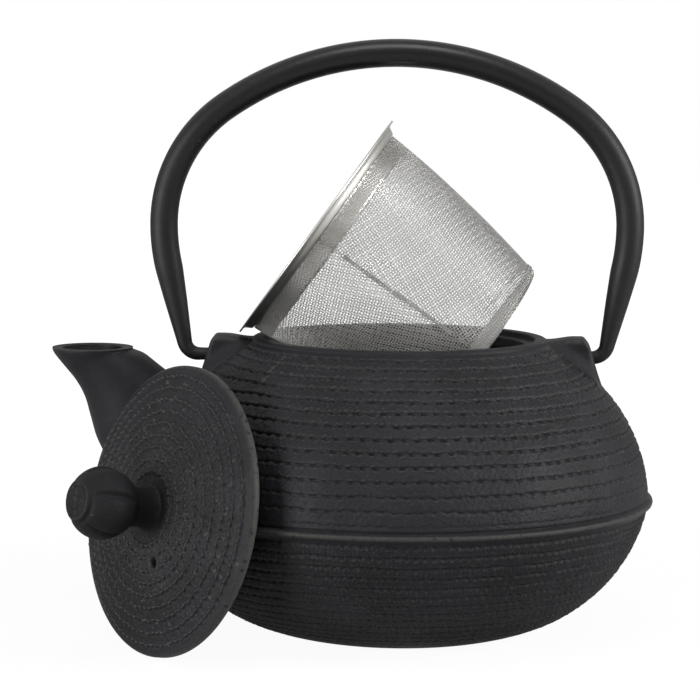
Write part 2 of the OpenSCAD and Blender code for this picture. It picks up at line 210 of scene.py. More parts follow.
def lathe(profile: Array, cols: int, relief: Callable[[Array, Array], Array] | None = None,
          closed: bool = True) -> tuple[Array, Array]:
    """Turn a profile round the Z axis.

    Args:
        profile: Points (radius, height) along the profile.
        cols: Number of columns round the axis.
        relief: Gives how far each point stands out, from its radius and its angle.
        closed: Whether the profile's end meets its start.

    Returns:
        The vertices and the quads.
    """
    nxt, prv = np.roll(profile, -1, 0), np.roll(profile, 1, 0)
    if not closed:
        nxt[-1], prv[0] = profile[-1], profile[0]
    tangent = nxt - prv
    tangent /= np.maximum(np.linalg.norm(tangent, axis=1), 1e-9)[:, None]
    normal = np.stack([tangent[:, 1], -tangent[:, 0]], -1)
    angle = np.linspace(0, 2 * math.pi, cols, endpoint=False)
    r, z = profile[:, :1] + 0 * angle, profile[:, 1:] + 0 * angle
    if relief is not None:
        out = relief(r, angle[None, :] + 0 * r)
        r, z = r + normal[:, :1] * out, z + normal[:, 1:] * out
    return around(r, angle, z).reshape(-1, 3), grid_faces(len(profile), cols, True, closed)


def value_noise(u: Array, v: Array, seed: int, period: int = 64) -> Array:
    """Smooth noise on a flat grid that repeats along its first axis.

    Args:
        u: Position along the first axis, in cells.
        v: Position along the second axis, in cells.
        seed: Seed of the noise.
        period: Number of cells after which the first axis repeats.

    Returns:
        Noise between -1 and 1.
    """
    rows = 64
    table = np.random.default_rng(seed).uniform(-1, 1, (period, rows))
    iu, iv = np.floor(u).astype(int), np.floor(v).astype(int)
    fu, fv = smoothstep(u - iu, 0, 1), smoothstep(v - iv, 0, 1)

    def at(a: Array, b: Array) -> Array:
        """Value of the noise at whole cells."""
        return table[a % period, b % rows]

    low = at(iu, iv) * (1 - fu) + at(iu + 1, iv) * fu
    high = at(iu, iv + 1) * (1 - fu) + at(iu + 1, iv + 1) * fu
    return low * (1 - fv) + high * fv


def cut(piece: bpy.types.Object, rods: Sequence[tuple[Vector, Vector, float, float]]) -> None:
    """Bore round holes through a closed piece.

    Args:
        piece: The piece to bore, in place.
        rods: For each hole, its middle and axis in metres, its radius and its length.
    """
    bm = bmesh.new()
    for middle, axis, radius, length in rods:
        turn = axis.to_track_quat("Z", "Y").to_matrix().to_4x4()
        bmesh.ops.create_cone(bm, cap_ends=True, segments=40, radius1=radius, radius2=radius, depth=length,
                              matrix=Matrix.Translation(middle) @ turn)
    mesh = bpy.data.meshes.new("cutter")
    bm.to_mesh(mesh)
    bm.free()
    cutter = bpy.data.objects.new("cutter", mesh)
    bpy.context.scene.collection.objects.link(cutter)
    tool = piece.modifiers.new("bore", "BOOLEAN")
    tool.object, tool.operation, tool.solver = cutter, "DIFFERENCE", "EXACT"
    bpy.context.view_layer.update()
    done = bpy.data.meshes.new_from_object(piece.evaluated_get(bpy.context.evaluated_depsgraph_get()))
    piece.modifiers.clear()
    old, piece.data = piece.data, done
    bpy.data.meshes.remove(old)
    done.name = piece.name
    shade_smooth(done)
    bpy.data.objects.remove(cutter)
    bpy.data.meshes.remove(mesh)


def over_under(crossing: Array) -> Array:
    """Side of the sheet on which a wire lies at each numbered crossing: 1 for over and -1 for under."""
    return np.where(crossing % 2 == 0, 1.0, -1.0)


def wires(lines: Sequence[Line], radius: float, sides: int = 4) -> tuple[Array, Array]:
    """Sweep a wire along each of many lines.

    Args:
        lines: For each wire, its points and the outward normal at each, in millimetres.
        radius: Radius of the wire.
        sides: Number of sides of the wire's section.

    Returns:
        The vertices and the quads.
    """
    verts, faces, base = [], [], 0
    turn = np.arange(sides) * 2 * math.pi / sides
    for pts, normal in lines:
        tangent = directions(pts)
        side = np.cross(tangent, normal)
        side /= np.linalg.norm(side, axis=1)[:, None]
        up = np.cross(side, tangent)
        ring = up[:, None, :] * np.cos(turn)[None, :, None] + side[:, None, :] * np.sin(turn)[None, :, None]
        verts.append((pts[:, None, :] + radius * ring).reshape(-1, 3))
        faces.append(grid_faces(len(pts), sides, True) + base)
        base += len(pts) * sides
    return np.concatenate(verts), np.concatenate(faces)


# ---------------------------------------------------------------- finishes


class Nodes:
    """A short hand for wiring one node tree."""

    def __init__(self, tree: bpy.types.NodeTree) -> None:
        """Keep the tree that is wired."""
        self.tree = tree

    def add(self, kind: str, **settings: object) -> bpy.types.Node:
        """Add a node and set its properties and its sockets.

        Args:
            kind: The node's type.
            settings: Properties by name; a socket's value is given as in_NAME.

        Returns:
            The node.
        """
        node = self.tree.nodes.new(kind)
        for key, value in settings.items():
            if key.startswith("in_"):
                node.inputs[key[3:].replace("_", " ")].default_value = value
            else:
                setattr(node, key, value)
        return node

    def link(self, source: bpy.types.NodeSocket, target: bpy.types.NodeSocket) -> None:
        """Join two sockets."""
        self.tree.links.new(source, target)

    def math(self, operation: str, a: object, b: object = 0.0) -> bpy.types.NodeSocket:
        """Add a Math node on two sockets or numbers.

        Args:
            operation: The operation's name.
            a: First socket or number.
            b: Second socket or number.

        Returns:
            The node's output.
        """
        node = self.add("ShaderNodeMath", operation=operation)
        for socket, value in zip(node.inputs, (a, b)):
            if isinstance(value, bpy.types.NodeSocket):
                self.link(value, socket)
            else:
                socket.default_value = float(value)
        return node.outputs[0]

    def ramp(self, source: bpy.types.NodeSocket, low: float, high: float, a: float = 0.0,
             b: float = 1.0) -> bpy.types.NodeSocket:
        """Map a value from one range to another, held at its ends.

        Args:
            source: The value's socket.
            low: Value that gives a.
            high: Value that gives b.
            a: Result at low.
            b: Result at high.

        Returns:
            The mapped value's socket.
        """
        node = self.add("ShaderNodeMapRange", interpolation_type="SMOOTHSTEP")
        for name, value in (("From Min", low), ("From Max", high), ("To Min", a), ("To Max", b)):
            node.inputs[name].default_value = value
        self.link(source, node.inputs["Value"])
        return node.outputs["Result"]

    def mix(self, factor: bpy.types.NodeSocket, a: object, b: object) -> bpy.types.NodeSocket:
        """Mix two colours.

        Args:
            factor: Socket of the share of b.
            a: First colour or socket.
            b: Second colour or socket.

        Returns:
            The mixed colour's socket.
        """
        node = self.add("ShaderNodeMix", data_type="RGBA")
        self.link(factor, node.inputs[0])
        for socket, value in ((node.inputs[6], a), (node.inputs[7], b)):
            if isinstance(value, bpy.types.NodeSocket):
                self.link(value, socket)
            else:
                socket.default_value = (*value, 1.0)
        return node.outputs[2]


def effect_group(name: str, inputs: Sequence[tuple[str, float]], outputs: Sequence[str],
                 ) -> tuple[bpy.types.NodeTree, Nodes, bpy.types.Node, bpy.types.Node]:
    """Start a shared node group with number sockets.

    Args:
        name: The group's name.
        inputs: Names and starting values of its inputs.
        outputs: Names of its outputs.

    Returns:
        The group, its wiring helper, and its input and output nodes.
    """
    group = bpy.data.node_groups.new(name, "ShaderNodeTree")
    for label, value in inputs:
        socket = group.interface.new_socket(label, in_out="INPUT", socket_type="NodeSocketFloat")
        socket.default_value = value
    for label in outputs:
        group.interface.new_socket(label, in_out="OUTPUT", socket_type="NodeSocketFloat")
    nodes = Nodes(group)
    return group, nodes, nodes.add("NodeGroupInput"), nodes.add("NodeGroupOutput")


def cast_grain_group() -> bpy.types.NodeTree:
    """Build the sand-cast surface: fine grain, shallow pits and broad unevenness.

    Returns:
        The node group, with outputs Height, Speck and Cloud.
    """
    group, n, given, made = effect_group(
        "cast_grain",
        [("Grain Scale", 1400.0), ("Pit Scale", 420.0), ("Cloud Scale", 40.0), ("Pit Share", 0.3)],
        ["Height", "Speck", "Cloud"])
    place = n.add("ShaderNodeTexCoord").outputs["Object"]
    grain = n.add("ShaderNodeTexNoise", in_Detail=3.0, in_Roughness=0.6)
    pits = n.add("ShaderNodeTexVoronoi", feature="F1")
    cloud = n.add("ShaderNodeTexNoise", in_Detail=3.0, in_Roughness=0.55)
    for node, label in ((grain, "Grain Scale"), (pits, "Pit Scale"), (cloud, "Cloud Scale")):
        n.link(place, node.inputs["Vector"])
        n.link(given.outputs[label], node.inputs["Scale"])
    hollow = n.ramp(pits.outputs["Distance"], 0.05, 0.4)
    share = n.math("MULTIPLY", hollow, given.outputs["Pit Share"])
    n.link(n.math("ADD", grain.outputs["Fac"], share), made.inputs["Height"])
    n.link(n.ramp(grain.outputs["Fac"], 0.6, 0.72), made.inputs["Speck"])
    n.link(cloud.outputs["Fac"], made.inputs["Cloud"])
    return group


def brushed_group() -> bpy.types.NodeTree:
    """Build faint polishing marks and smudges for sheet steel.

    Returns:
        The node group, with outputs Height and Smudge.
    """
    group, n, given, made = effect_group("steel_polish", [("Mark Scale", 900.0), ("Smudge Scale", 60.0)],
                                         ["Height", "Smudge"])
    place = n.add("ShaderNodeTexCoord").outputs["Object"]
    marks = n.add("ShaderNodeTexNoise", in_Detail=4.0, in_Roughness=0.7)
    smudge = n.add("ShaderNodeTexNoise", in_Detail=2.0)
    for node, label in ((marks, "Mark Scale"), (smudge, "Smudge Scale")):
        n.link(place, node.inputs["Vector"])
        n.link(given.outputs[label], node.inputs["Scale"])
    n.link(marks.outputs["Fac"], made.inputs["Height"])
    n.link(smudge.outputs["Fac"], made.inputs["Smudge"])
    return group


GRAIN = cast_grain_group()
POLISH = brushed_group()


def start_material(name: str) -> tuple[bpy.types.Material, Nodes, bpy.types.Node]:
    """Start a material with a Principled shader.

    Args:
        name: The material's name.

    Returns:
        The material, its wiring helper and its shader.
    """
    material = bpy.data.materials.new(name)
    material.use_nodes = True
    nodes = Nodes(material.node_tree)
    return material, nodes, material.node_tree.nodes["Principled BSDF"]


def roughen(n: Nodes, shader: bpy.types.Node, height: bpy.types.NodeSocket, distance: float) -> None:
    """Bump a shader's normal.

    Args:
        n: The material's wiring helper.
        shader: The shader.
        height: Socket of the height, in shares of the distance.
        distance: The height that 1 stands for, in metres.
    """
    bump = n.add("ShaderNodeBump", in_Distance=distance, in_Strength=1.0)
    n.link(height, bump.inputs["Height"])
    n.link(bump.outputs["Normal"], shader.inputs["Normal"])


@dataclass(frozen=True)
class CastFinish:
    """A cast and blackened iron surface.

    Attributes:
        name: Name of the material.
        dark: Colour of the darker patches of the broad unevenness.
        light: Colour of its lighter patches.
        wear_and_glint: Colour of the lightened edges and flecks: partly bare-metal wear, partly painted
            glints in place of highlights.
        rough: Least and greatest roughness.
        grain: Height of the grain, in metres.
        specular: Strength of the sheen.
        edge_wear_glint_share: Share of the coils' edges that is lightened: partly rubbed-bare wear, partly
            painted glints.
        edge: Pointiness at which the lightened edge (wear and painted glint) starts, and at which it is full.
    """

    name: str
    dark: tuple[float, float, float] = (0.0073, 0.0075, 0.009)
    light: tuple[float, float, float] = (0.0132, 0.0135, 0.0158)
    wear_and_glint: tuple[float, float, float] = (0.066, 0.064, 0.06)
    rough: tuple[float, float] = (0.46, 0.6)
    grain: float = 0.00022
    specular: float = 0.2
    edge_wear_glint_share: float = 0.66
    edge: tuple[float, float] = (0.51, 0.56)

    def material(self) -> bpy.types.Material:
        """Build the material.

        Returns:
            The material.
        """
        material, n, shader = start_material(self.name)
        grain = n.add("ShaderNodeGroup", node_tree=GRAIN)
        tone = n.mix(n.ramp(grain.outputs["Cloud"], 0.3, 0.7), self.dark, self.light)
        # Painted glints: convex coil edges (found by pointiness) and random grain flecks get a lighter base
        # colour. This is partly rubbed-bare wear and partly painted highlight.
        edge = n.ramp(n.add("ShaderNodeNewGeometry").outputs["Pointiness"], *self.edge)
        worn_edge_glint = n.math("MULTIPLY", edge, n.ramp(grain.outputs["Height"], 0.55, 0.75))
        wear_and_glint = n.math("MULTIPLY", grain.outputs["Speck"], 0.3)
        glint = n.math("ADD", wear_and_glint, n.math("MULTIPLY", worn_edge_glint, self.edge_wear_glint_share))
        n.link(n.mix(glint, tone, self.wear_and_glint), shader.inputs["Base Color"])
        rough = n.ramp(grain.outputs["Cloud"], 0.25, 0.75, self.rough[1], self.rough[0])
        n.link(rough, shader.inputs["Roughness"])
        roughen(n, shader, grain.outputs["Height"], self.grain)
        shader.inputs["Specular IOR Level"].default_value = self.specular
        return material


@dataclass(frozen=True)
class PaintFinish:
    """Black stove paint on a drawn tube.

    Attributes:
        name: Name of the material.
        colour: Colour of the paint.
        worn: Colour where the paint is rubbed.
        rough: Least and greatest roughness.
        leg_matt: How much rougher the paint on the legs is than on the arch.
        peel: Height of the paint's unevenness, in metres.
        specular: Strength of the sheen.
    """

    name: str
    colour: tuple[float, float, float] = (0.0055, 0.0055, 0.006)
    worn: tuple[float, float, float] = (0.03, 0.03, 0.03)
    rough: tuple[float, float] = (0.28, 0.36)
    leg_matt: float = 1.7
    peel: float = 0.00005
    specular: float = 0.31

    def material(self) -> bpy.types.Material:
        """Build the material.

        Returns:
            The material.
        """
        material, n, shader = start_material(self.name)
        grain = n.add("ShaderNodeGroup", node_tree=GRAIN)
        grain.inputs["Grain Scale"].default_value = 700.0
        grain.inputs["Pit Share"].default_value = 0.1
        n.link(n.mix(n.math("MULTIPLY", grain.outputs["Speck"], 0.5), self.colour, self.worn),
               shader.inputs["Base Color"])
        lift = n.add("ShaderNodeSeparateXYZ")
        n.link(n.add("ShaderNodeTexCoord").outputs["Generated"], lift.inputs[0])
        matt = n.ramp(lift.outputs["Z"], 0.5, 0.9, self.leg_matt, 1.0)
        n.link(n.math("MULTIPLY", n.ramp(grain.outputs["Cloud"], 0.3, 0.7, *self.rough), matt),
               shader.inputs["Roughness"])
        roughen(n, shader, grain.outputs["Height"], self.peel)
        shader.inputs["Specular IOR Level"].default_value = self.specular
        return material


@dataclass(frozen=True)
class SteelFinish:
    """Stainless steel, as sheet or as wire.

    Attributes:
        name: Name of the material.
        bright: Colour of the clean metal.
        dull: Colour of the smudged metal.
        rough: Least and greatest roughness.
        marks: Height of the polishing marks, in metres.
    """

    name: str
    bright: tuple[float, float, float] = (0.70, 0.69, 0.66)
    dull: tuple[float, float, float] = (0.50, 0.49, 0.46)
    rough: tuple[float, float] = (0.16, 0.3)
    marks: float = 0.00002

    def material(self) -> bpy.types.Material:
        """Build the material.

        Returns:
            The material.
        """
        material, n, shader = start_material(self.name)
        polish = n.add("ShaderNodeGroup", node_tree=POLISH)
        n.link(n.mix(n.ramp(polish.outputs["Smudge"], 0.35, 0.7), self.bright, self.dull),
               shader.inputs["Base Color"])
        n.link(n.ramp(polish.outputs["Smudge"], 0.3, 0.7, *self.rough), shader.inputs["Roughness"])
        roughen(n, shader, polish.outputs["Height"], self.marks)
        shader.inputs["Metallic"].default_value = 1.0
        return material


@dataclass(frozen=True)
class Palette:
    """The finishes that the sub-assemblies are dressed in."""

    iron: bpy.types.Material
    smooth_iron: bpy.types.Material
    knob: bpy.types.Material
    paint: bpy.types.Material
    fastener: bpy.types.Material
    flange: bpy.types.Material
    wire: bpy.types.Material


def make_palette() -> Palette:
    """Build every finish once.

    Returns:
        The finishes.
    """
    return Palette(
        iron=CastFinish("coiled_iron").material(),
        smooth_iron=CastFinish("smooth_iron", grain=0.00008, rough=(0.5, 0.62)).material(),
        knob=CastFinish("knob_iron", dark=(0.008, 0.008, 0.009), light=(0.012, 0.012, 0.0135),
                        rough=(0.6, 0.72), grain=0.00004, specular=0.14).material(),
        paint=PaintFinish("stove_paint").material(),
        fastener=SteelFinish("fastener_steel", bright=(0.6, 0.6, 0.6)).material(),
        flange=SteelFinish("flange_steel", rough=(0.3, 0.44)).material(),
        wire=SteelFinish("wire_steel", bright=(0.56, 0.55, 0.535), dull=(0.39, 0.385, 0.37),
                         rough=(0.26, 0.4)).material(),
    )


def dress(piece: bpy.types.Object, material: bpy.types.Material, body: Body) -> bpy.types.Object:
    """Give a piece its finish, and hang it on the body that it moves with.

    Args:
        piece: The piece.
        material: Its finish.
        body: The body that it rides on.

    Returns:
        The piece.
    """
    piece.data.materials.clear()
    piece.data.materials.append(material)
    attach(piece, body.value)
    return piece


# ---------------------------------------------------------------- pot


@dataclass
class CoilPattern:
    """Relief of coiled straw: rings with stitched grooves between them.

    Attributes:
        pitch: Distance from groove to groove.
        stitch: Distance from stitch to stitch along a groove.
        groove_w: Half width of a groove.
        groove: Depth of a groove.
        pit: Depth of a stitch.
        nub: Height of the knot beside a stitch.
        lap: How far each coil stands over the next at its edge.
        edge_w: Width over which a coil's edge falls away.
        scallop: How far the stitches pull the edge aside.
        rope: Height of the straws on a coil.
        lump: Height of the casting's unevenness.
        seed: Seed of the unevenness.
    """

    pitch: float = 4.3
    stitch: float = 3.8
    groove_w: float = 0.42
    groove: float = 0.16
    pit: float = 0.52
    nub: float = 0.16
    lap: float = 0.3
    edge_w: float = 0.8
    scallop: float = 0.16
    rope: float = 0.06
    lump: float = 0.1
    seed: int = 3

    def height(self, s: Array, r: Array, angle: Array) -> Array:
        """Height of the relief.

        Args:
            s: Distance along the profile from the first groove.
            r: Radius, which sets the number of stitches in a ring.
            angle: Angle round the axis.

        Returns:
            How far the surface stands out, in millimetres.
        """
        turn = angle / (2 * math.pi)
        row = np.round(s / self.pitch)
        least_r = 4.0

        def noise(cells: int, across: Array, offset: int) -> Array:
            """Noise with a number of cells round the ring."""
            return value_noise(turn * cells, across, self.seed + offset, cells)

        ring_r = np.maximum(np.median(r, axis=1, keepdims=True), least_r)
        count = np.round(2 * math.pi * ring_r / self.stitch)
        phase = angle * count + row * 2.4 + 1.3 * noise(40, row + 0.5, 0)
        wobble = self.scallop * np.cos(phase) + 0.3 * noise(96, row + 0.25, 1)
        d = s - row * self.pitch - wobble
        t = np.mod(d / self.pitch, 1.0)
        lap = self.lap * (t - 0.5) * smoothstep(1 - t, 0.0, self.edge_w / self.pitch)
        length = -0.1 + 0.7 * noise(150, row + 0.75, 3)
        dash = smoothstep(np.cos(phase), length, length + 0.7)
        pit = np.exp(-((d - 0.15) / self.groove_w) ** 2) * dash
        groove = np.exp(-((d - 0.1) / self.groove_w) ** 2)
        straw = np.cos(angle * count * 2.0 + 3.0 * noise(70, s / 3.0, 4) + 1.2 * d)
        nub = self.nub * np.exp(-((d - 0.95) / 0.34) ** 2) * dash
        skin = self.rope * straw * (1 - groove) + self.lump * noise(260, s / 1.1, 2)
        return lap + skin + nub - self.groove * groove - self.pit * pit


@dataclass
class PotBody:
    """The iron pot: its shell, its spout and the ears that carry the bail."""

    belly_r: float = 78.6
    shoulder_r: float = 52.0
    shoulder_h: float = 40.0
    flank_r: float = 50.3
    flank_h: float = 50.0
    wall: float = 3.6
    seam_h: float = 41.5
    seam_proud: float = 1.4
    fill_r: float = 62.0
    seam_w: float = 2.2
    mouth_h: float = 91.5
    lip_r: float = 46.4
    lip_round: float = 1.2
    recess_r: float = 42.3
    recess_depth: float = 2.0
    throat_r: float = 39.3
    ledge_t: float = 3.6
    smooth_band: float = 1.8
    cols: int = 1080
    lip_in_round: float = 0.7
    throat_round: float = 0.5
    # Sections of the spout: x and z of the middle, half sizes in the XZ plane and along Y, lean in degrees.
    spout: tuple[tuple[float, float, float, float, float], ...] = (
        (-68.0, 54.5, 21.0, 13.5, 33.0), (-75.0, 61.0, 19.2, 13.2, 31.0), (-80.3, 66.6, 17.1, 12.8, 28.5),
        (-84.1, 71.7, 14.7, 12.5, 26.0), (-87.5, 76.8, 12.7, 12.2, 23.0), (-91.1, 81.1, 11.7, 11.9, 20.0),
        (-94.5, 84.1, 11.7, 11.9, 11.0), (-96.5, 86.2, 12.5, 12.5, 2.0), (-96.7, 87.4, 12.7, 12.7, 0.0))
    spout_wall: float = 3.2
    spout_root: float = 1.6
    spout_flare: float = 2.4
    # Where the channel may pass the shell: least and greatest x, y and z.
    channel_box: tuple[Point, Point, Point] = ((-120.0, -50.0), (-20.0, 20.0), (34.0, 86.0))
    # Rings of the spout's lip: how far in from the skin, and how high.
    spout_lip: tuple[Point, ...] = (
        (0.25, 0.45), (0.75, 0.62), (1.4, 0.66), (2.2, 0.6), (2.9, 0.4), (3.15, 0.05))
    pivot_h: float = 85.5
    ear_reach: float = 60.6
    ear_top: float = 91.9
    ear_half_t: float = 5.5
    ear_lean: float = 0.3
    ear_corner: float = 1.8
    ear_round: float = 1.5
    ear_root: float = 2.2
    ear_drop: float = 16.0
    ear_sunk: float = 2.0
    ear_flare: float = 2.6
    bore_r: float = 2.03
    bore_end_x: float = 52.6
    bore_out_x: float = 75.0
    above: CoilPattern = field(default_factory=CoilPattern)
    below: CoilPattern = field(default_factory=lambda: CoilPattern(
        pitch=3.5, stitch=2.6, groove_w=0.42, groove=0.17, pit=0.42, nub=0.2, lap=0.26, rope=0.11, seed=11))

    @property
    def shoulder_x(self) -> float:
        """Distance from the axis to the middle of the shoulder's arc."""
        return self.belly_r - math.sqrt(self.shoulder_r ** 2 - (self.seam_h - self.shoulder_h) ** 2)

    @property
    def flank_x(self) -> float:
        """Distance from the axis to the middle of the flank's arc."""
        return self.belly_r - math.sqrt(self.flank_r ** 2 - (self.seam_h - self.flank_h) ** 2)

    def outside(self, p: Array) -> Array:
        """Distance of points outside the outer skin, negative in the iron.

        Args:
            p: Points, in millimetres.

        Returns:
            Signed distances.
        """
        r, z = np.hypot(p[..., 0], p[..., 1]), p[..., 2]
        up = np.hypot(r - self.shoulder_x, z - self.shoulder_h) - self.shoulder_r
        down = np.hypot(r - self.flank_x, z - self.flank_h) - self.flank_r
        return np.where(z > self.seam_h, up, down)

    def lip_fill(self, r: float) -> float:
        """How far the skin rises over the shoulder's arc to meet the lip's top."""
        foot = self.shoulder_h + math.sqrt(self.shoulder_r ** 2 - (self.lip_r - self.shoulder_x) ** 2)
        near = min(max((self.fill_r - r) / (self.fill_r - self.lip_r), 0.0), 1.0)
        return (self.mouth_h - self.lip_round - foot) * near ** 2

    def shell(self) -> tuple[Array, Array]:
        """Build the turned shell: coiled skin, seam, lip, recess, throat and lining.

        Returns:
            The vertices and the quads.
        """
        start = -math.degrees(math.asin(self.flank_h / self.flank_r))
        flank = arc(self.flank_x, self.flank_h, self.flank_r, start,
                    math.degrees(math.asin((self.seam_h - self.flank_h) / self.flank_r)), 160)
        shoulder = arc(self.shoulder_x, self.shoulder_h, self.shoulder_r,
                       math.degrees(math.asin((self.seam_h - self.shoulder_h) / self.shoulder_r)),
                       math.degrees(math.acos((self.lip_r - self.shoulder_x) / self.shoulder_r)), 240)
        half = self.seam_w / 2
        seam = [(self.belly_r + dr, self.seam_h + dz) for dr, dz in (
            (0.0, -half - 0.4), (0.8, -half * 0.85), (1.25, -half * 0.5), (self.seam_proud, 0.0),
            (1.25, half * 0.4), (0.8, half * 0.75), (-0.45, half + 0.05), (-0.6, half + 0.35),
            (-0.1, half + 0.75))]
        flank = [p for p in flank if p[1] < self.seam_h - half - 0.5]
        shoulder = [p for p in shoulder if p[1] > self.seam_h + half + 0.9]
        fill = [(r, z + self.lip_fill(r)) for r, z in shoulder]
        shoulder = [p for p in fill if p[1] < self.mouth_h - self.lip_round - 0.1]
        rim = [(self.lip_r, self.mouth_h - self.lip_round)]
        rim += arc(self.lip_r - self.lip_round, self.mouth_h - self.lip_round, self.lip_round, 10, 90, 8)
        inner = self.recess_r
        curve = self.lip_in_round
        rim += arc(inner + curve, self.mouth_h - curve, curve, 90, 180, 6)
        ledge = self.mouth_h - self.recess_depth
        rim += [(inner, ledge + 0.3), (inner - 0.3, ledge), (self.throat_r + 0.6, ledge)]
        curve = self.throat_round
        rim += arc(self.throat_r + curve, ledge - curve, curve, 90, 180, 4)
        under = ledge - self.ledge_t
        rim += [(self.throat_r, under + curve), (self.throat_r + curve, under)]
        high = self.shoulder_r - self.wall
        top_r = self.shoulder_x + math.sqrt(high ** 2 - (under - self.shoulder_h) ** 2)
        lining = arc(self.shoulder_x, self.shoulder_h, high,
                     math.degrees(math.acos((top_r - self.shoulder_x) / high)), 1.8, 26)
        low = self.flank_r - self.wall
        lining += arc(self.flank_x, self.flank_h, low, -10,
                      -math.degrees(math.asin((self.flank_h - self.wall) / low)), 22)
        lining += [(20.0, self.wall), (AXIS_R, self.wall)]
        base = [(AXIS_R, 0.0), (12.0, 0.0), (24.0, 0.0), (flank[0][0] - 2.0, 0.0)]
        profile = np.array(base + flank + seam + shoulder + rim + lining)
        first, last = len(base), len(base) + len(flank)
        up_first, up_last = last + len(seam), last + len(seam) + len(shoulder)
        step = run_length(profile)
        fade = np.zeros(len(profile))
        fade[first:last] = smoothstep(profile[first:last, 1], 1.5, 6.0) * \
            smoothstep(step[last] - step[first:last], 0.2, 1.6)
        upper_run = step[up_first:up_last]
        fade[up_first:up_last] = smoothstep(upper_run - step[up_first], 0.2, 1.6) * \
            smoothstep(step[up_last - 1] - upper_run, self.smooth_band - 1.0, self.smooth_band + 0.6) * \
            (0.55 + 0.75 * smoothstep(profile[up_first:up_last, 1], self.seam_h, self.mouth_h - 12))

        def relief(r: Array, angle: Array) -> Array:
            """Relief of the skin above and below the seam."""
            down = (step[up_last - 1] - self.smooth_band - step)[:, None] + 0 * angle
            upper = self.above.height(down, r, angle)
            lower = self.below.height((step[last] - 1.2 - step)[:, None] + 0 * angle, r, angle)
            pick = (np.arange(len(profile)) < last)[:, None]
            return np.where(pick, lower, upper) * fade[:, None]

        verts, faces = lathe(profile, self.cols, relief, closed=False)
        middle = verts[faces].mean(1)
        hole = self.in_channel(middle, self.spout_wall - 0.8)
        return verts, faces[~hole]

    def spout_station(self, t: Array) -> Array:
        """Smooth the spout's sections along its length.

        Args:
            t: Place along the spout, from 0 at its root to 1 at its mouth.

        Returns:
            For each place, the section's middle, half sizes and lean.
        """
        keys = np.array(self.spout)
        x = t * (len(keys) - 1)
        i = np.clip(np.floor(x).astype(int), 0, len(keys) - 2)
        f = (x - i)[..., None]
        p0, p1 = keys[np.maximum(i - 1, 0)], keys[i]
        p2, p3 = keys[i + 1], keys[np.minimum(i + 2, len(keys) - 1)]
        return 0.5 * (2 * p1 + (p2 - p0) * f + (2 * p0 - 5 * p1 + 4 * p2 - p3) * f ** 2
                      + (3 * p1 - p0 - 3 * p2 + p3) * f ** 3)

    def spout_point(self, t: Array, a: Array, inset: float) -> Array:
        """Points on the spout's skin.

        Args:
            t: Place along the spout.
            a: Angle round the section, in radians.
            inset: How far the skin is moved in.

        Returns:
            The points, in millimetres.
        """
        s = self.spout_station(t)
        lean = np.radians(s[..., 4])
        along = (s[..., 2] - inset) * np.cos(a)
        return np.stack([s[..., 0] + along * np.cos(lean), (s[..., 3] - inset) * np.sin(a),
                         s[..., 1] + along * np.sin(lean)], -1)

    def in_channel(self, p: Array, inset: float) -> Array:
        """Whether points lie in the spout's channel.

        Args:
            p: Points, in millimetres.
            inset: How far the channel's wall is inside the spout's skin.

        Returns:
            True for each point in the channel.
        """
        box = np.array(self.channel_box)
        near = np.flatnonzero(((p > box[:, 0]) & (p < box[:, 1])).all(1))
        hit = np.zeros(len(p), dtype=bool)
        for t in np.linspace(0.0, 0.8, 60):
            s = self.spout_station(np.array(t))
            lean = math.radians(s[4])
            d = p[near] - np.array([s[0], 0, s[1]])
            along = d[:, 0] * math.cos(lean) + d[:, 2] * math.sin(lean)
            across = -d[:, 0] * math.sin(lean) + d[:, 2] * math.cos(lean)
            hit[near] |= (np.abs(across) < 1.2) & \
                ((along / (s[2] - inset)) ** 2 + (d[:, 1] / (s[3] - inset)) ** 2 < 1)
        return hit

    def horn(self) -> tuple[Array, Array]:
        """Build the spout as a closed horn that grows out of the skin.

        Returns:
            The vertices and the quads.
        """
        sides, rings, inner_rings, fine = 72, 44, 30, 240
        a = np.linspace(0, 2 * math.pi, sides, endpoint=False)
        t = np.linspace(0, 1, fine)

        def skin(rows: Array, inset: Array | float) -> Array:
            """Points of the skin round the section, at each ring's places along the spout."""
            return self.spout_point(rows, a[None, :] + 0 * rows, inset)

        def start(inset: float, depth: float) -> Array:
            """Find where each line of the skin leaves a depth in the wall."""
            below = self.outside(skin(t[:, None] + 0 * a, inset)) < depth
            return t[np.where(below.any(0), fine - 1 - below[::-1].argmax(0), 0)][None, :]

        outer_t = start(0.0, -self.spout_root)
        outer_t = outer_t + np.linspace(0, 1, rings)[:, None] * (0.985 - outer_t)
        gap = self.outside(skin(outer_t, 0.0))
        outer = skin(outer_t, -self.spout_flare * (1 - smoothstep(gap, -1.0, 7.5)) ** 2)
        mouth_z = self.spout_station(np.array(1.0))[1]
        crest = max(rise for _, rise in self.spout_lip)
        lip = []
        for inset, rise in self.spout_lip:
            ring = self.spout_point(np.full(sides, 1.0), a, inset)
            ring[:, 2] = mouth_z - crest + rise
            lip.append(ring)
        inner_t = start(self.spout_wall, -self.wall - 0.3)
        inner_t = 0.97 + np.linspace(0, 1, inner_rings)[:, None] * (inner_t - 0.97)
        inner = skin(inner_t, self.spout_wall)
        verts = np.concatenate([outer.reshape(-1, 3), *lip, inner.reshape(-1, 3)])
        return verts, grid_faces(rings + len(lip) + inner_rings, sides, True, True)

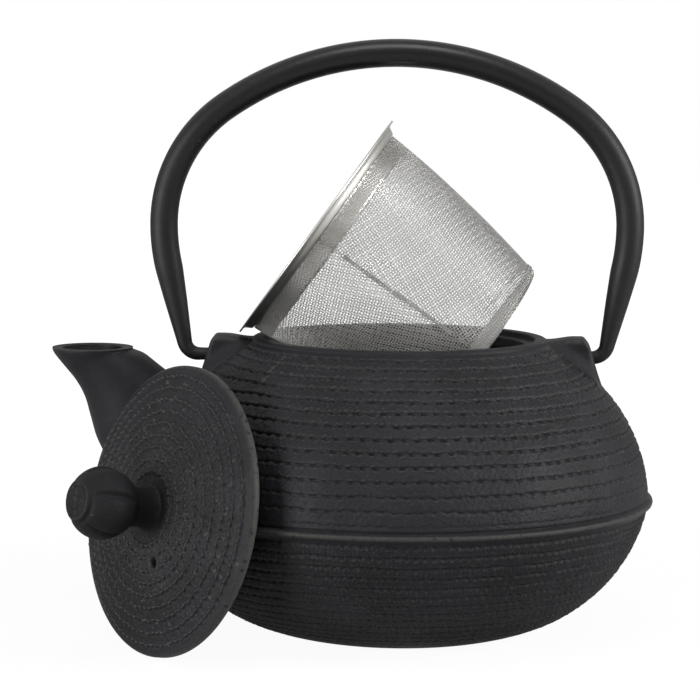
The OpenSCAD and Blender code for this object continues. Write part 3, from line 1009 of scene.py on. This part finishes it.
    def ear(self, side: float) -> bpy.types.Object:
        """Build one ear, which rises beside the lip and carries a bail pin.

        Args:
            side: -1 for the spout's side, 1 for the other.

        Returns:
            The ear, with its blind bore.
        """
        stations, rim = 40, 46
        share = np.linspace(0, 1, stations)[:, None]
        edge = np.maximum(0.0, (share - 0.9) / 0.1)
        inset = self.ear_round * (1 - np.sqrt(np.maximum(0.0, 1 - edge ** 2)))
        dip = 1 - smoothstep(share, 0.15, 0.75)
        top = self.ear_top - dip - inset - np.where(share > 0.97, 0.25, 0.0)
        flat = self.ear_half_t - 0.6 * inset - self.ear_corner
        bend = self.ear_corner * math.pi / 2
        low = self.pivot_h - self.ear_drop
        s = np.linspace(-1, 1, rim) * (flat + bend + (top - self.ear_corner - low))
        turn = np.clip((np.abs(s) - flat) / self.ear_corner, 0, math.pi / 2)
        y = np.sign(s) * (np.minimum(np.abs(s), flat) + self.ear_corner * np.sin(turn))
        z = top - self.ear_corner * (1 - np.cos(turn)) - np.maximum(np.abs(s) - flat - bend, 0)
        root_x = self.lip_r - self.ear_root
        x = root_x + (self.ear_reach - root_x) * share + self.ear_lean * (self.pivot_h - z) * share
        p = np.stack([x, y, z], -1)
        gap = self.outside(p)
        flare = self.ear_flare * (1 - smoothstep(gap, -0.5, 6.0)) ** 2
        p[..., 1] += np.sign(p[..., 1]) * flare * smoothstep(np.abs(p[..., 1]), 2.0, 5.0)
        pull = np.maximum(-self.ear_sunk - gap, 0.0)
        middle = np.array([self.shoulder_x, self.shoulder_h])
        out = p[..., ::2] - middle
        r = np.maximum(np.hypot(out[..., 0], out[..., 1]), 1e-6)
        p[..., ::2] += (pull / r)[..., None] * out
        if side < 0:
            p[..., 0] *= -1
        faces = grid_faces(stations, rim, False).tolist()
        faces += [list(range(rim)), [(stations - 1) * rim + k for k in range(rim)]]
        faces += [[k * rim for k in range(stations)] + [k * rim + rim - 1 for k in reversed(range(stations))]]
        piece = new_piece("pot_ear_left" if side < 0 else "pot_ear_right", p.reshape(-1, 3), faces)
        middle_x, length = (self.bore_out_x + self.bore_end_x) / 2, self.bore_out_x - self.bore_end_x
        cut(piece, [(Vector((side * middle_x, 0, self.pivot_h)) * MM, Vector((1, 0, 0)),
                     self.bore_r * MM, length * MM)])
        return piece

    def build(self, palette: Palette) -> list[bpy.types.Object]:
        """Build and dress the pot.

        Args:
            palette: The finishes.

        Returns:
            The pot's pieces.
        """
        shell = new_piece("pot_shell", *self.shell())
        dress(shell, palette.iron, Body.POT)
        spout = dress(new_piece("pot_spout", *self.horn()), palette.smooth_iron, Body.POT)
        ears = [dress(self.ear(side), palette.smooth_iron, Body.POT) for side in (-1.0, 1.0)]
        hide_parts("pot_body")
        return [shell, spout, *ears]


# ---------------------------------------------------------------- bail


@dataclass
class Bail:
    """The tubular bail with drawn-down legs and hooked ends."""

    tube_r: float = 4.35
    half_w: float = 72.9
    top_h: float = 180.0
    top_arc: float = 93.7
    side_arc: float = 44.8
    leg_arc: float = 60.0
    lean: float = 13.3
    mid_r: float = 3.6
    mid_share: float = 0.42
    hook_r: float = 2.35
    bend_r: float = 4.6
    pin_r: float = 1.95
    pin_len: float = 7.0
    hook_x: float = 61.87
    pivot_h: float = 85.5
    slide: float = 1.3
    leg_rings: int = 22
    pin_rings: int = 8
    sides: int = 40

    def half_path(self) -> tuple[list[Point], list[float]]:
        """Path of the right half, from the top to the pin's tip.

        Returns:
            The points (x, z) and the tube's radius at each.
        """
        top_z = self.top_h - self.top_arc
        join = math.degrees(math.acos((self.half_w - self.side_arc) / (self.top_arc - self.side_arc)))
        side_x = self.half_w - self.side_arc
        side_z = top_z + (self.top_arc - self.side_arc) * math.sin(math.radians(join))
        path = arc(0, top_z, self.top_arc, 90, join, 30)
        path += arc(side_x, side_z, self.side_arc, join, 0, 26)[1:]
        path += arc(self.half_w - self.leg_arc, side_z, self.leg_arc, 0, -self.lean, 10)[1:]
        radii = [self.tube_r] * len(path)
        turn = math.radians(self.lean)
        end = (self.hook_x + self.bend_r * math.cos(turn),
               self.pivot_h + self.bend_r * (1 - math.sin(turn)))
        start = path[-1]
        share = np.arange(1, self.leg_rings + 1) / self.leg_rings
        path += [(start[0] + (end[0] - start[0]) * s, start[1] + (end[1] - start[1]) * s) for s in share]
        radii += np.interp(share, (0, self.mid_share, 1), (self.tube_r, self.mid_r, self.hook_r)).tolist()
        bend = arc(self.hook_x, self.pivot_h + self.bend_r, self.bend_r, -self.lean, -90, 10)[1:]
        path += bend
        radii += np.linspace(self.hook_r, self.pin_r + 0.12, len(bend) + 1)[1:].tolist()
        path += [(self.hook_x - self.pin_len * k / self.pin_rings, self.pivot_h)
                 for k in range(1, self.pin_rings + 1)]
        radii += [self.pin_r] * (self.pin_rings - 1) + [self.pin_r - 0.3]
        return path, radii

    def build(self, palette: Palette) -> list[bpy.types.Object]:
        """Build and dress the bail.

        Args:
            palette: The finishes.

        Returns:
            The bail's piece.
        """
        path, radii = self.half_path()
        left = [(-x, z) for x, z in path[:0:-1]]
        pts = np.array(left + path)
        rad = np.array(radii[:0:-1] + radii)
        for _ in range(2):
            rad[1:-1] = (rad[:-2] + 2 * rad[1:-1] + rad[2:]) / 4
        tangent = directions(pts)
        a = np.linspace(0, 2 * math.pi, self.sides, endpoint=False)
        normal = np.stack([-tangent[:, 1], tangent[:, 0]], -1)
        rad = rad[:, None]
        x = pts[:, :1] + rad * np.cos(a) * normal[:, :1] - self.slide
        z = pts[:, 1:] + rad * np.cos(a) * normal[:, 1:]
        y = rad * np.sin(a)
        verts = np.stack([x, y, z], -1).reshape(-1, 3)
        faces = grid_faces(len(pts), self.sides, True).tolist()
        faces += [list(range(self.sides))[::-1], [(len(pts) - 1) * self.sides + k for k in range(self.sides)]]
        piece = dress(new_piece("bail_tube", verts, faces), palette.paint, Body.BAIL)
        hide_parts("bail")
        return [piece]


# ---------------------------------------------------------------- lid and knob


@dataclass
class Lid:
    """The domed lid, which leans on the pot, and its bud knob."""

    lid_r: float = 43.6
    edge_h: float = 2.4
    rise: float = 9.0
    bow: float = 1.1
    wall: float = 3.0
    land_r: float = 7.5
    seat_w: float = 3.4
    ring_r: float = 34.6
    ring_wall: float = 2.4
    ring_drop: float = 2.6
    vent_r: float = 2.0
    vent_reach: float = 16.3
    vent_turn: float = 20.0
    vent_dish: float = 0.1
    edge_bead: float = 0.12
    screw_hole_r: float = 2.3
    neck_r: float = 6.3
    neck_len: float = 7.4
    bud_r: float = 10.7
    rosette_r: float = 5.5
    petals: int = 5
    petal_turn: float = 36.0
    petal_from: float = 0.1
    petal_span: float = 0.78
    petal_groove: float = 0.75
    petal_lap: float = 0.42
    skin_in: float = 0.25
    thread_r: float = 2.06
    thread_len: float = 10.0
    x: float = -67.0
    y: float = -44.2
    tilt: float = 11.0
    turn: float = 38.3
    coils: CoilPattern = field(default_factory=lambda: CoilPattern(
        pitch=3.7, stitch=2.6, groove_w=0.42, groove=0.25, pit=0.45, nub=0.26, lap=0.3, rope=0.1,
        lump=0.14, seed=21))

    @property
    def place(self) -> Matrix:
        """Transform from the level lid to the leaning one, in millimetres."""
        up = self.lid_r * math.cos(math.radians(self.tilt))
        turn = Matrix.Rotation(math.radians(180 + self.turn), 4, "Z")
        return Matrix.Translation((self.x, self.y, up)) @ turn \
            @ Matrix.Rotation(math.radians(90 - self.tilt), 4, "Y")

    @property
    def vent(self) -> Point:
        """Middle of the vent."""
        turn = math.radians(self.vent_turn)
        return self.vent_reach * math.cos(turn), self.vent_reach * math.sin(turn)

    def top(self, r: Array) -> Array:
        """Height of the lid's top at a radius."""
        t = np.clip((self.lid_r - r) / (self.lid_r - self.land_r), 0, 1)
        return self.edge_h + (self.rise - self.edge_h) * t + 4 * self.bow * t * (1 - t)

    def plate(self) -> bpy.types.Object:
        """Build the lid's plate with its coils, vent and locating ring.

        Returns:
            The plate.
        """
        def underside(start: float, end: float, count: int) -> list[Point]:
            """Profile of the plate's hollow side between two radii."""
            r = np.linspace(start, end, count)
            return list(zip(r, np.maximum(0.0, self.top(r) - self.wall)))

        hole, seat = self.screw_hole_r, self.lid_r - self.seat_w
        outer = [(hole, self.rise), (self.land_r - 0.4, self.rise)]
        r = np.linspace(self.land_r, self.lid_r - 0.9, 150)
        outer += list(zip(r, self.top(r)))
        edge = [(self.lid_r - 0.35, self.edge_h - 0.1), (self.lid_r, self.edge_h - 0.6), (self.lid_r, 0.4),
                (self.lid_r - 0.4, 0.0), (seat, 0.0)]
        under = underside(seat - 0.3, self.ring_r + 0.01, 12)
        ring_in = self.ring_r - self.ring_wall
        drop = -self.ring_drop
        ring = [(self.ring_r, 0.0), (self.ring_r, drop + 0.4), (self.ring_r - 0.4, drop),
                (ring_in + 0.4, drop), (ring_in, drop + 0.4)]
        roof = underside(ring_in - 0.01, self.land_r, 24)
        profile = np.array(outer + edge + under + ring + roof + [(hole, self.rise - self.wall)])
        count = len(outer)
        step = run_length(profile)
        fade = np.zeros(len(profile))
        fade[:count] = smoothstep(profile[:count, 0], self.land_r + 0.5, self.land_r + 2.5) * \
            smoothstep(self.lid_r - profile[:count, 0], 1.8, 3.0)
        over_top = np.arange(len(profile)) < count
        lip = self.edge_bead * np.exp(-((self.lid_r - 2.3 - profile[:, 0]) / 0.35) ** 2) * over_top

        def relief(r: Array, angle: Array) -> Array:
            """Relief of the lid's top."""
            s = (step - step[count - 1] + 2.9)[:, None] + 0 * angle
            away = np.hypot(r * np.cos(angle) - self.vent[0], r * np.sin(angle) - self.vent[1])
            open_by = smoothstep(away, self.vent_r + 0.4, self.vent_r + 1.8)
            dish = self.vent_dish * (1 - smoothstep(away, self.vent_r - 0.2, self.vent_r + 0.6))
            return self.coils.height(s, r, angle) * fade[:, None] * open_by - dish * over_top[:, None] \
                - lip[:, None]

        piece = new_piece("lid_plate", *lathe(profile, 720, relief), self.place)
        middle, axis = self.place @ Vector((*self.vent, 7.0)), self.place.to_3x3() @ Vector((0, 0, 1))
        cut(piece, [(middle * MM, axis, self.vent_r * MM, 20.0 * MM)])
        return piece

    def knob(self) -> bpy.types.Object:
        """Build the knob: a neck and a rosebud of overlapping petals.

        Returns:
            The knob.
        """
        mid = self.rise + self.neck_len + math.sqrt(self.bud_r ** 2 - self.neck_r ** 2)
        top_a = math.asin(self.rosette_r / self.bud_r)
        low_a = math.pi - math.asin(self.neck_r / self.bud_r)
        cols = 320
        a = np.linspace(0, 2 * math.pi, cols, endpoint=False)
        th, az = np.meshgrid(np.linspace(top_a, low_a - 0.04, 96), a, indexing="ij")
        share = (th - top_a) / (low_a - top_a)
        f = ((az - math.radians(self.petal_turn)) / (2 * math.pi) * self.petals) % 1.0
        f = (f + 0.10 * (share - 0.5)) % 1.0
        lens = np.clip(np.sin(math.pi * np.clip((share - self.petal_from) / self.petal_span, 0, 1)), 0, 1)
        near = np.minimum(f, 1 - f)
        arc_mm = near / self.petals * 2 * math.pi * self.bud_r * np.sin(th)
        groove = -self.petal_groove * lens * np.exp(-(arc_mm / (0.35 + 0.75 * lens)) ** 2)
        overlap = self.petal_lap * lens * (smoothstep(f, 0.0, 0.14) - smoothstep(f, 0.45, 1.0))
        crown = 0.28 * np.exp(-((share - 0.02) / 0.035) ** 2)
        collar = 0.34 * np.exp(-((share - 0.085) / 0.03) ** 2) \
            * (0.35 + 0.65 * smoothstep(np.cos(az - 0.6), -0.4, 0.5))
        r = self.bud_r - self.skin_in + groove + overlap + (crown - collar)
        bud = around(r * np.sin(th), az, mid + r * np.cos(th))
        top_z = mid + (self.bud_r - self.skin_in) * math.cos(top_a)
        rosette = []
        for q in np.linspace(0.0, 1.0, 26)[:-1]:
            spiral = (a / (2 * math.pi) + 1.9 * q) % 1.0
            curl = -0.42 * np.exp(-((np.minimum(spiral, 1 - spiral)) / 0.09) ** 2) * smoothstep(q, 0.02, 0.2)
            z = top_z + 0.55 * (1 - q ** 2) + curl * smoothstep(1 - q, 0.0, 0.2)
            rosette.append(around(self.rosette_r * max(q, 0.002), a, z))
        foot, length = self.rise, self.neck_len + self.skin_in
        neck = []
        for s in np.linspace(0, 1, 22):
            waist = -0.45 * math.sin(math.pi * s) + 0.5 * max(0.0, s - 0.8) / 0.2
            neck.append(around(self.neck_r + waist, a, foot + length - length * s))
        bore = [around(q, a, foot + h) for q, h in (
            (4.0, 0.0), (self.thread_r, 0.0), (self.thread_r, self.thread_len / 2),
            (self.thread_r, self.thread_len), (AXIS_R, self.thread_len))]
        rows = rosette + list(bud) + neck + bore
        return new_piece("knob_bud", np.concatenate(rows), grid_faces(len(rows), cols, True), self.place)

    def build(self, palette: Palette) -> list[bpy.types.Object]:
        """Build and dress the lid and its knob.

        Args:
            palette: The finishes.

        Returns:
            The pieces.
        """
        plate = dress(self.plate(), palette.iron, Body.LID)
        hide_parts("lid")
        bud = dress(self.knob(), palette.knob, Body.LID)
        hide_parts("lid_knob")
        for name in ("knob_washer", "knob_screw"):
            solid = bpy.data.objects[name]
            solid.data.materials.clear()
            solid.data.materials.append(palette.fastener)
        return [plate, bud]


# ---------------------------------------------------------------- infuser


@dataclass
class Infuser:
    """The wire basket: flange and skirt of sheet steel, woven wall, hem and floor."""

    flange_r: float = 40.7
    flange_flat: float = 1.6
    sheet: float = 0.6
    mesh_start: float = 3.0
    mesh_top_r: float = 37.1
    mesh_foot_r: float = 28.8
    bulge: float = 1.3
    depth: float = 64.4
    skirt: float = 8.8
    skirt_gap: float = 0.05
    mesh_t: float = 0.7
    hem_h: float = 3.4
    foot_round: float = 2.6
    pitch: float = 0.87
    wire_r: float = 0.113
    seam_lap: float = 0.9
    seam_lift: float = 0.12
    flap_gap: float = 0.42
    flap_from: float = 9.0
    flap_to: float = 12.0
    hem_out: float = 0.1
    hem_in: float = 0.2
    floor_h: float = 0.22
    x: float = -26.8
    h: float = 126.0
    tilt: float = 54.5

    @property
    def place(self) -> Matrix:
        """Transform from the level basket to the propped one, in millimetres."""
        return Matrix.Translation((self.x, 0, self.h)) @ Matrix.Rotation(math.radians(-self.tilt), 4, "Y")

    @property
    def slope(self) -> float:
        """Radius that the wall loses for each millimetre of depth."""
        return (self.mesh_top_r - self.mesh_foot_r) / (self.depth - self.mesh_start)

    def swell(self, depth: Array | float) -> Array | float:
        """How far the wall bulges out of its cone at a depth."""
        t = (depth - self.mesh_start) / (self.depth - self.mesh_start)
        return 4 * self.bulge * t * (1 - t)

    def wall_r(self, depth: float) -> float:
        """Outer radius of the wall at a depth."""
        return self.mesh_top_r - self.slope * (depth - self.mesh_start) + self.swell(depth)

    def rim(self) -> tuple[Array, Array]:
        """Build the flange, its cone and the skirt inside the mesh.

        Returns:
            The vertices and the quads.
        """
        inner = self.mesh_top_r - self.mesh_t - self.skirt_gap
        skirt_r = self.wall_r(self.skirt) - self.mesh_t - self.skirt_gap
        edge, flat, start = self.flange_r, self.flange_r - self.flange_flat, -self.mesh_start
        outline = [(edge - 0.15, 0.0), (edge, -0.15), (edge, -self.sheet + 0.15), (edge - 0.15, -self.sheet),
                   (flat, -self.sheet), (flat - 0.5, -self.sheet - 0.25),
                   (self.mesh_top_r + 0.45, start + 0.35), (self.mesh_top_r + 0.1, start + 0.08),
                   (inner, start + 0.05), (inner - 0.04, start - 0.6), (skirt_r, -self.skirt),
                   (skirt_r - 0.2, -self.skirt), (inner - self.sheet - 0.04, start - 0.2),
                   (inner - self.sheet + 0.2, start + 0.7), (flat - 0.7, -0.15), (flat, 0.0)]
        return lathe(resample(outline + [outline[0]], 1.2)[:-1], 256)

    def cone_lines(self) -> list[Line]:
        """Lay a flat woven sheet round the cone, with its seam at the front.

        Returns:
            The wires' lines and normals.
        """
        half = math.atan(self.slope)
        shrink = math.sin(half)
        apex = (self.mesh_top_r - self.mesh_t / 2) / shrink
        low = apex - (self.depth - self.mesh_start - self.hem_h + 0.6) / math.cos(half)
        top = apex - 0.1
        edge = math.pi * shrink
        spread = edge + self.seam_lap / top
        p = self.pitch
        lines = []

        def add(x: Array, y: Array, sign: Array) -> None:
            """Wrap one straight wire of the flat sheet, in runs that lie on it."""
            good = (np.hypot(x, y) > low) & (np.hypot(x, y) < top) & (np.abs(np.arctan2(x, y)) < spread)
            edges = np.flatnonzero(np.diff(np.r_[0, good.astype(int), 0]))
            for a, b in zip(edges[::2], edges[1::2]):
                if b - a < 3:
                    continue
                rho, phi = np.hypot(x, y)[a:b], np.arctan2(x, y)[a:b]
                past = np.clip((np.abs(phi) - edge) * top / self.seam_lap, -1, 1)
                lap = self.seam_lift * past * np.sign(phi) * (np.abs(phi) > edge * 0.97)
                z = -self.mesh_start - (apex - rho) * math.cos(half)
                r = rho * shrink + self.swell(-z)
                turn = phi / shrink + math.pi / 2
                n = around(math.cos(half), turn, -math.sin(half))
                lines.append((around(r, turn, z) + (sign[a:b] * self.wire_r + lap)[:, None] * n, n))

        side = int(top * math.sin(spread) / p) + 2
        i = np.arange(-side, side + 1)
        j = np.arange(int(low * math.cos(spread) / p) - 1, int(top / p) + 2)
        for row in j:
            add(i * p, np.full(len(i), row * p), over_under(i + row))
        for col in i:
            add(np.full(len(j), col * p), j * p, -over_under(j + col))
        return lines

    def woven(self, points: Array, normal: Array, side: Array) -> Line:
        """Move a wire off the middle of its sheet, to one side at each crossing.

        Args:
            points: Points of the wire in the middle of the sheet.
            normal: The sheet's outward normal at each.
            side: 1 or -1 at each point.

        Returns:
            The wire's line and normals.
        """
        return points + (side * self.wire_r)[:, None] * normal, normal

    def turned_lines(self, profile: Array) -> list[Line]:
        """Weave wire over a turned surface, along and across its profile.

        Args:
            profile: Points (radius, height).

        Returns:
            The wires' lines and normals.
        """
        fine = resample(profile, 0.2)
        run = run_length(fine)
        rows = np.arange(0, run[-1], self.pitch)
        pr, pz = np.interp(rows, run, fine[:, 0]), np.interp(rows, run, fine[:, 1])
        tr, tz = np.gradient(pr), np.gradient(pz)
        size = np.hypot(tr, tz)
        nr, nz = -tz / size, tr / size
        count = int(round(2 * math.pi * pr.mean() / self.pitch / 2)) * 2
        a = np.arange(count + 1) * 2 * math.pi / count
        lines = []
        for k in range(len(rows)):
            side = over_under(np.arange(len(a)) + k)
            lines.append(self.woven(around(pr[k], a, pz[k]), around(nr[k], a, nz[k]), side))
        for m in range(count):
            turn, side = np.full(len(rows), a[m]), -over_under(np.arange(len(rows)) + m)
            lines.append(self.woven(around(pr, turn, pz), around(nr, turn, nz), side))
        return lines

    def floor_lines(self, radius: float, z: float) -> list[Line]:
        """Weave the flat floor.

        Args:
            radius: Radius of the floor.
            z: Its height.

        Returns:
            The wires' lines and normals.
        """
        count = int(radius / self.pitch)
        i = np.arange(-count, count + 1)
        lines = []
        for k in i:
            reach = math.sqrt(max(0.0, radius ** 2 - (k * self.pitch) ** 2))
            run = i[np.abs(i * self.pitch) <= reach]
            if len(run) < 3:
                continue
            along, across, level = run * self.pitch, np.full(len(run), k * self.pitch), np.full(len(run), z)
            up = np.tile([0.0, 0.0, 1.0], (len(run), 1))
            side = over_under(run + k)
            lines.append(self.woven(np.stack([along, across, level], -1), up, side))
            lines.append(self.woven(np.stack([across, along, level], -1), up, -side))
        return lines

    def seam_lines(self) -> list[Line]:
        """Lay the short flap of mesh that closes the seam at the front.

        Returns:
            The wires' lines and normals.
        """
        lines = []
        for k in range(-1, 2):
            depth = np.arange(self.mesh_start + self.flap_from, self.depth - self.flap_to, self.pitch / 2)
            r = np.array([self.wall_r(d) for d in depth]) - 0.1
            a = -math.pi / 2 + (k * self.flap_gap + 0.1 * np.sin(depth / 5.0)) / r
            lines.append((around(r, a, -depth), around(1.0, a, 0.0)))
        return lines

    def build(self, palette: Palette) -> list[bpy.types.Object]:
        """Build and dress the infuser.

        Args:
            palette: The finishes.

        Returns:
            The pieces.
        """
        rim = new_piece("basket_rim", *self.rim(), self.place)
        dress(rim, palette.flange, Body.INFUSER)
        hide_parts("infuser_rim")
        mesh = wires(self.cone_lines() + self.seam_lines(), self.wire_r)
        wall = new_piece("basket_wall", *mesh, self.place, outward=False)
        dress(wall, palette.wire, Body.INFUSER)
        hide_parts("infuser_wall")
        hem_r = self.wall_r(self.depth - self.hem_h) + self.hem_out
        edge = [(hem_r - self.hem_in, self.hem_h - self.depth),
                (hem_r - self.hem_in, self.foot_round - self.depth + 0.1)]
        edge += arc(hem_r - self.foot_round, self.foot_round - self.depth, self.foot_round - self.hem_in,
                    0, -90, 8)
        hem = self.turned_lines(np.array(edge))
        hem += self.floor_lines(hem_r - self.foot_round + 0.3, self.floor_h - self.depth)
        floor = new_piece("basket_floor", *wires(hem, self.wire_r), self.place, outward=False)
        dress(floor, palette.wire, Body.INFUSER)
        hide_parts("infuser_floor")
        return [rim, wall, floor]


# ---------------------------------------------------------------- studio


@dataclass(frozen=True)
class Lamp:
    """One soft lamp.

    Attributes:
        name: Its name.
        at: Its place in metres.
        aim: The point that it faces.
        size: Width of its square panel.
        watts: Its power.
    """

    name: str
    at: tuple[float, float, float]
    aim: tuple[float, float, float]
    size: float
    watts: float

    def hang(self) -> None:
        """Put the lamp in the scene."""
        data = bpy.data.lights.new(self.name, "AREA")
        data.shape, data.size, data.energy = "SQUARE", self.size, self.watts
        lamp = bpy.data.objects.new(self.name, data)
        lamp.location = self.at
        lamp.rotation_euler = (Vector(self.aim) - Vector(self.at)).to_track_quat("-Z", "Y").to_euler()
        bpy.context.scene.collection.objects.link(lamp)


@dataclass
class Studio:
    """The floor, the lamps, the world and the camera."""

    camera_at: tuple[float, float, float] = (0.0, -0.75, 0.16557)
    yaw: float = 1.19
    pitch: float = 5.972
    roll: float = 0.478
    lens: float = 123.28
    world: float = 0.24
    gloss: tuple[float, float] = (0.3, 0.85)
    floor_half: float = 4.0
    floor_grey: float = 0.5
    floor_glow: float = 0.88
    glow_from: tuple[float, float] = (0.14, 1.08)
    glow_to: tuple[float, float] = (0.5, 1.2)
    lamps: tuple[Lamp, ...] = (
        Lamp("key", (1.05, -0.34, 0.42), (0, 0, 0.06), 0.45, 12.0),
        Lamp("front", (-0.98, -0.8, 0.2), (0, 0, 0.08), 0.45, 9.3),
        Lamp("side", (-0.9, -0.45, 0.05), (-0.07, -0.05, 0.01), 0.3, 2.6),
        Lamp("top", (0.0, -0.5, 1.0), (0, 0, 0.12), 0.45, 3.6))

    def camera(self) -> None:
        """Set the camera."""
        y, p, q = (math.radians(v) for v in (self.yaw, self.pitch, self.roll))
        ahead = Vector((-math.sin(y) * math.cos(p), math.cos(y) * math.cos(p), -math.sin(p)))
        right = Vector((math.cos(y), math.sin(y), 0))
        up = right.cross(ahead)
        side = right * math.cos(q) + up * math.sin(q)
        rise = up * math.cos(q) - right * math.sin(q)
        data = bpy.data.cameras.new("camera")
        data.lens, data.sensor_width, data.sensor_fit = self.lens, 36.0, "HORIZONTAL"
        data.clip_start, data.clip_end = 0.01, 20.0
        camera = bpy.data.objects.new("camera", data)
        turn = Matrix((side, rise, -ahead)).transposed().to_4x4()
        camera.matrix_world = Matrix.Translation(self.camera_at) @ turn
        bpy.context.scene.collection.objects.link(camera)
        bpy.context.scene.camera = camera

    def backdrop(self) -> None:
        """Make the world white to the eye and plain to the object."""
        world = bpy.data.worlds.new("studio")
        bpy.context.scene.world = world
        world.use_nodes = True
        n = Nodes(world.node_tree)
        world.node_tree.nodes.clear()
        path = n.add("ShaderNodeLightPath")
        seen = n.math("MAXIMUM", path.outputs["Is Camera Ray"], path.outputs["Is Transmission Ray"])
        lift = n.add("ShaderNodeSeparateXYZ")
        n.link(n.add("ShaderNodeTexCoord").outputs["Generated"], lift.inputs[0])
        mirrored = n.math("SUBTRACT", n.ramp(lift.outputs["Z"], -0.1, 0.75, *self.gloss), self.world)
        strength = n.math("ADD", self.world, n.math("MULTIPLY", path.outputs["Is Glossy Ray"], mirrored))
        dim = n.add("ShaderNodeBackground", in_Color=(1, 1, 1, 1))
        n.link(strength, dim.inputs["Strength"])
        white = n.add("ShaderNodeBackground", in_Color=(1, 1, 1, 1), in_Strength=1.0)
        mix = n.add("ShaderNodeMixShader")
        n.link(seen, mix.inputs[0])
        n.link(dim.outputs[0], mix.inputs[1])
        n.link(white.outputs[0], mix.inputs[2])
        n.link(mix.outputs[0], n.add("ShaderNodeOutputWorld").inputs[0])

    def floor(self) -> None:
        """Lay the pale floor, which keeps a soft shadow."""
        mesh = bpy.data.meshes.new("floor")
        s = self.floor_half
        mesh.from_pydata([(-s, -s, 0), (s, -s, 0), (s, s, 0), (-s, s, 0)], [], [(0, 1, 2, 3)])
        floor = bpy.data.objects.new("floor", mesh)
        bpy.context.scene.collection.objects.link(floor)
        material, n, shader = start_material("pale_floor")
        shader.inputs["Base Color"].default_value = (self.floor_grey,) * 3 + (1,)
        shader.inputs["Roughness"].default_value = 0.9
        shader.inputs["Specular IOR Level"].default_value = 0.0
        away = n.add("ShaderNodeVectorMath", operation="LENGTH")
        n.link(n.add("ShaderNodeTexCoord").outputs["Object"], away.inputs[0])
        glow = n.add("ShaderNodeEmission", in_Color=(1, 1, 1, 1))
        (near, least), (far, most) = self.glow_from, self.glow_to
        n.link(n.ramp(away.outputs["Value"], near, far, least, most), glow.inputs["Strength"])
        path = n.add("ShaderNodeLightPath")
        mix = n.add("ShaderNodeMixShader")
        mirrored = n.math("MULTIPLY", path.outputs["Is Glossy Ray"], self.gloss[0])
        seen = n.math("MAXIMUM", path.outputs["Is Camera Ray"], mirrored)
        n.link(n.math("MULTIPLY", seen, self.floor_glow), mix.inputs[0])
        n.link(shader.outputs[0], mix.inputs[1])
        n.link(glow.outputs[0], mix.inputs[2])
        n.link(mix.outputs[0], material.node_tree.nodes["Material Output"].inputs["Surface"])
        mesh.materials.append(material)

    def build(self) -> None:
        """Set up the whole studio."""
        self.camera()
        self.backdrop()
        self.floor()
        for lamp in self.lamps:
            lamp.hang()


# ---------------------------------------------------------------- main


def main() -> None:
    """Build the teapot and its studio, and report each piece."""
    logging.basicConfig(level=logging.INFO, format="%(name)s: %(message)s")
    Studio().build()
    palette = make_palette()
    for part in (PotBody(), Bail(), Lid(), Infuser()):
        for piece in part.build(palette):
            LOG.info("%s: %d faces", piece.name, len(piece.data.polygons))
    bpy.context.scene.view_settings.view_transform = "Standard"


if __name__ == "__main__":
    main()
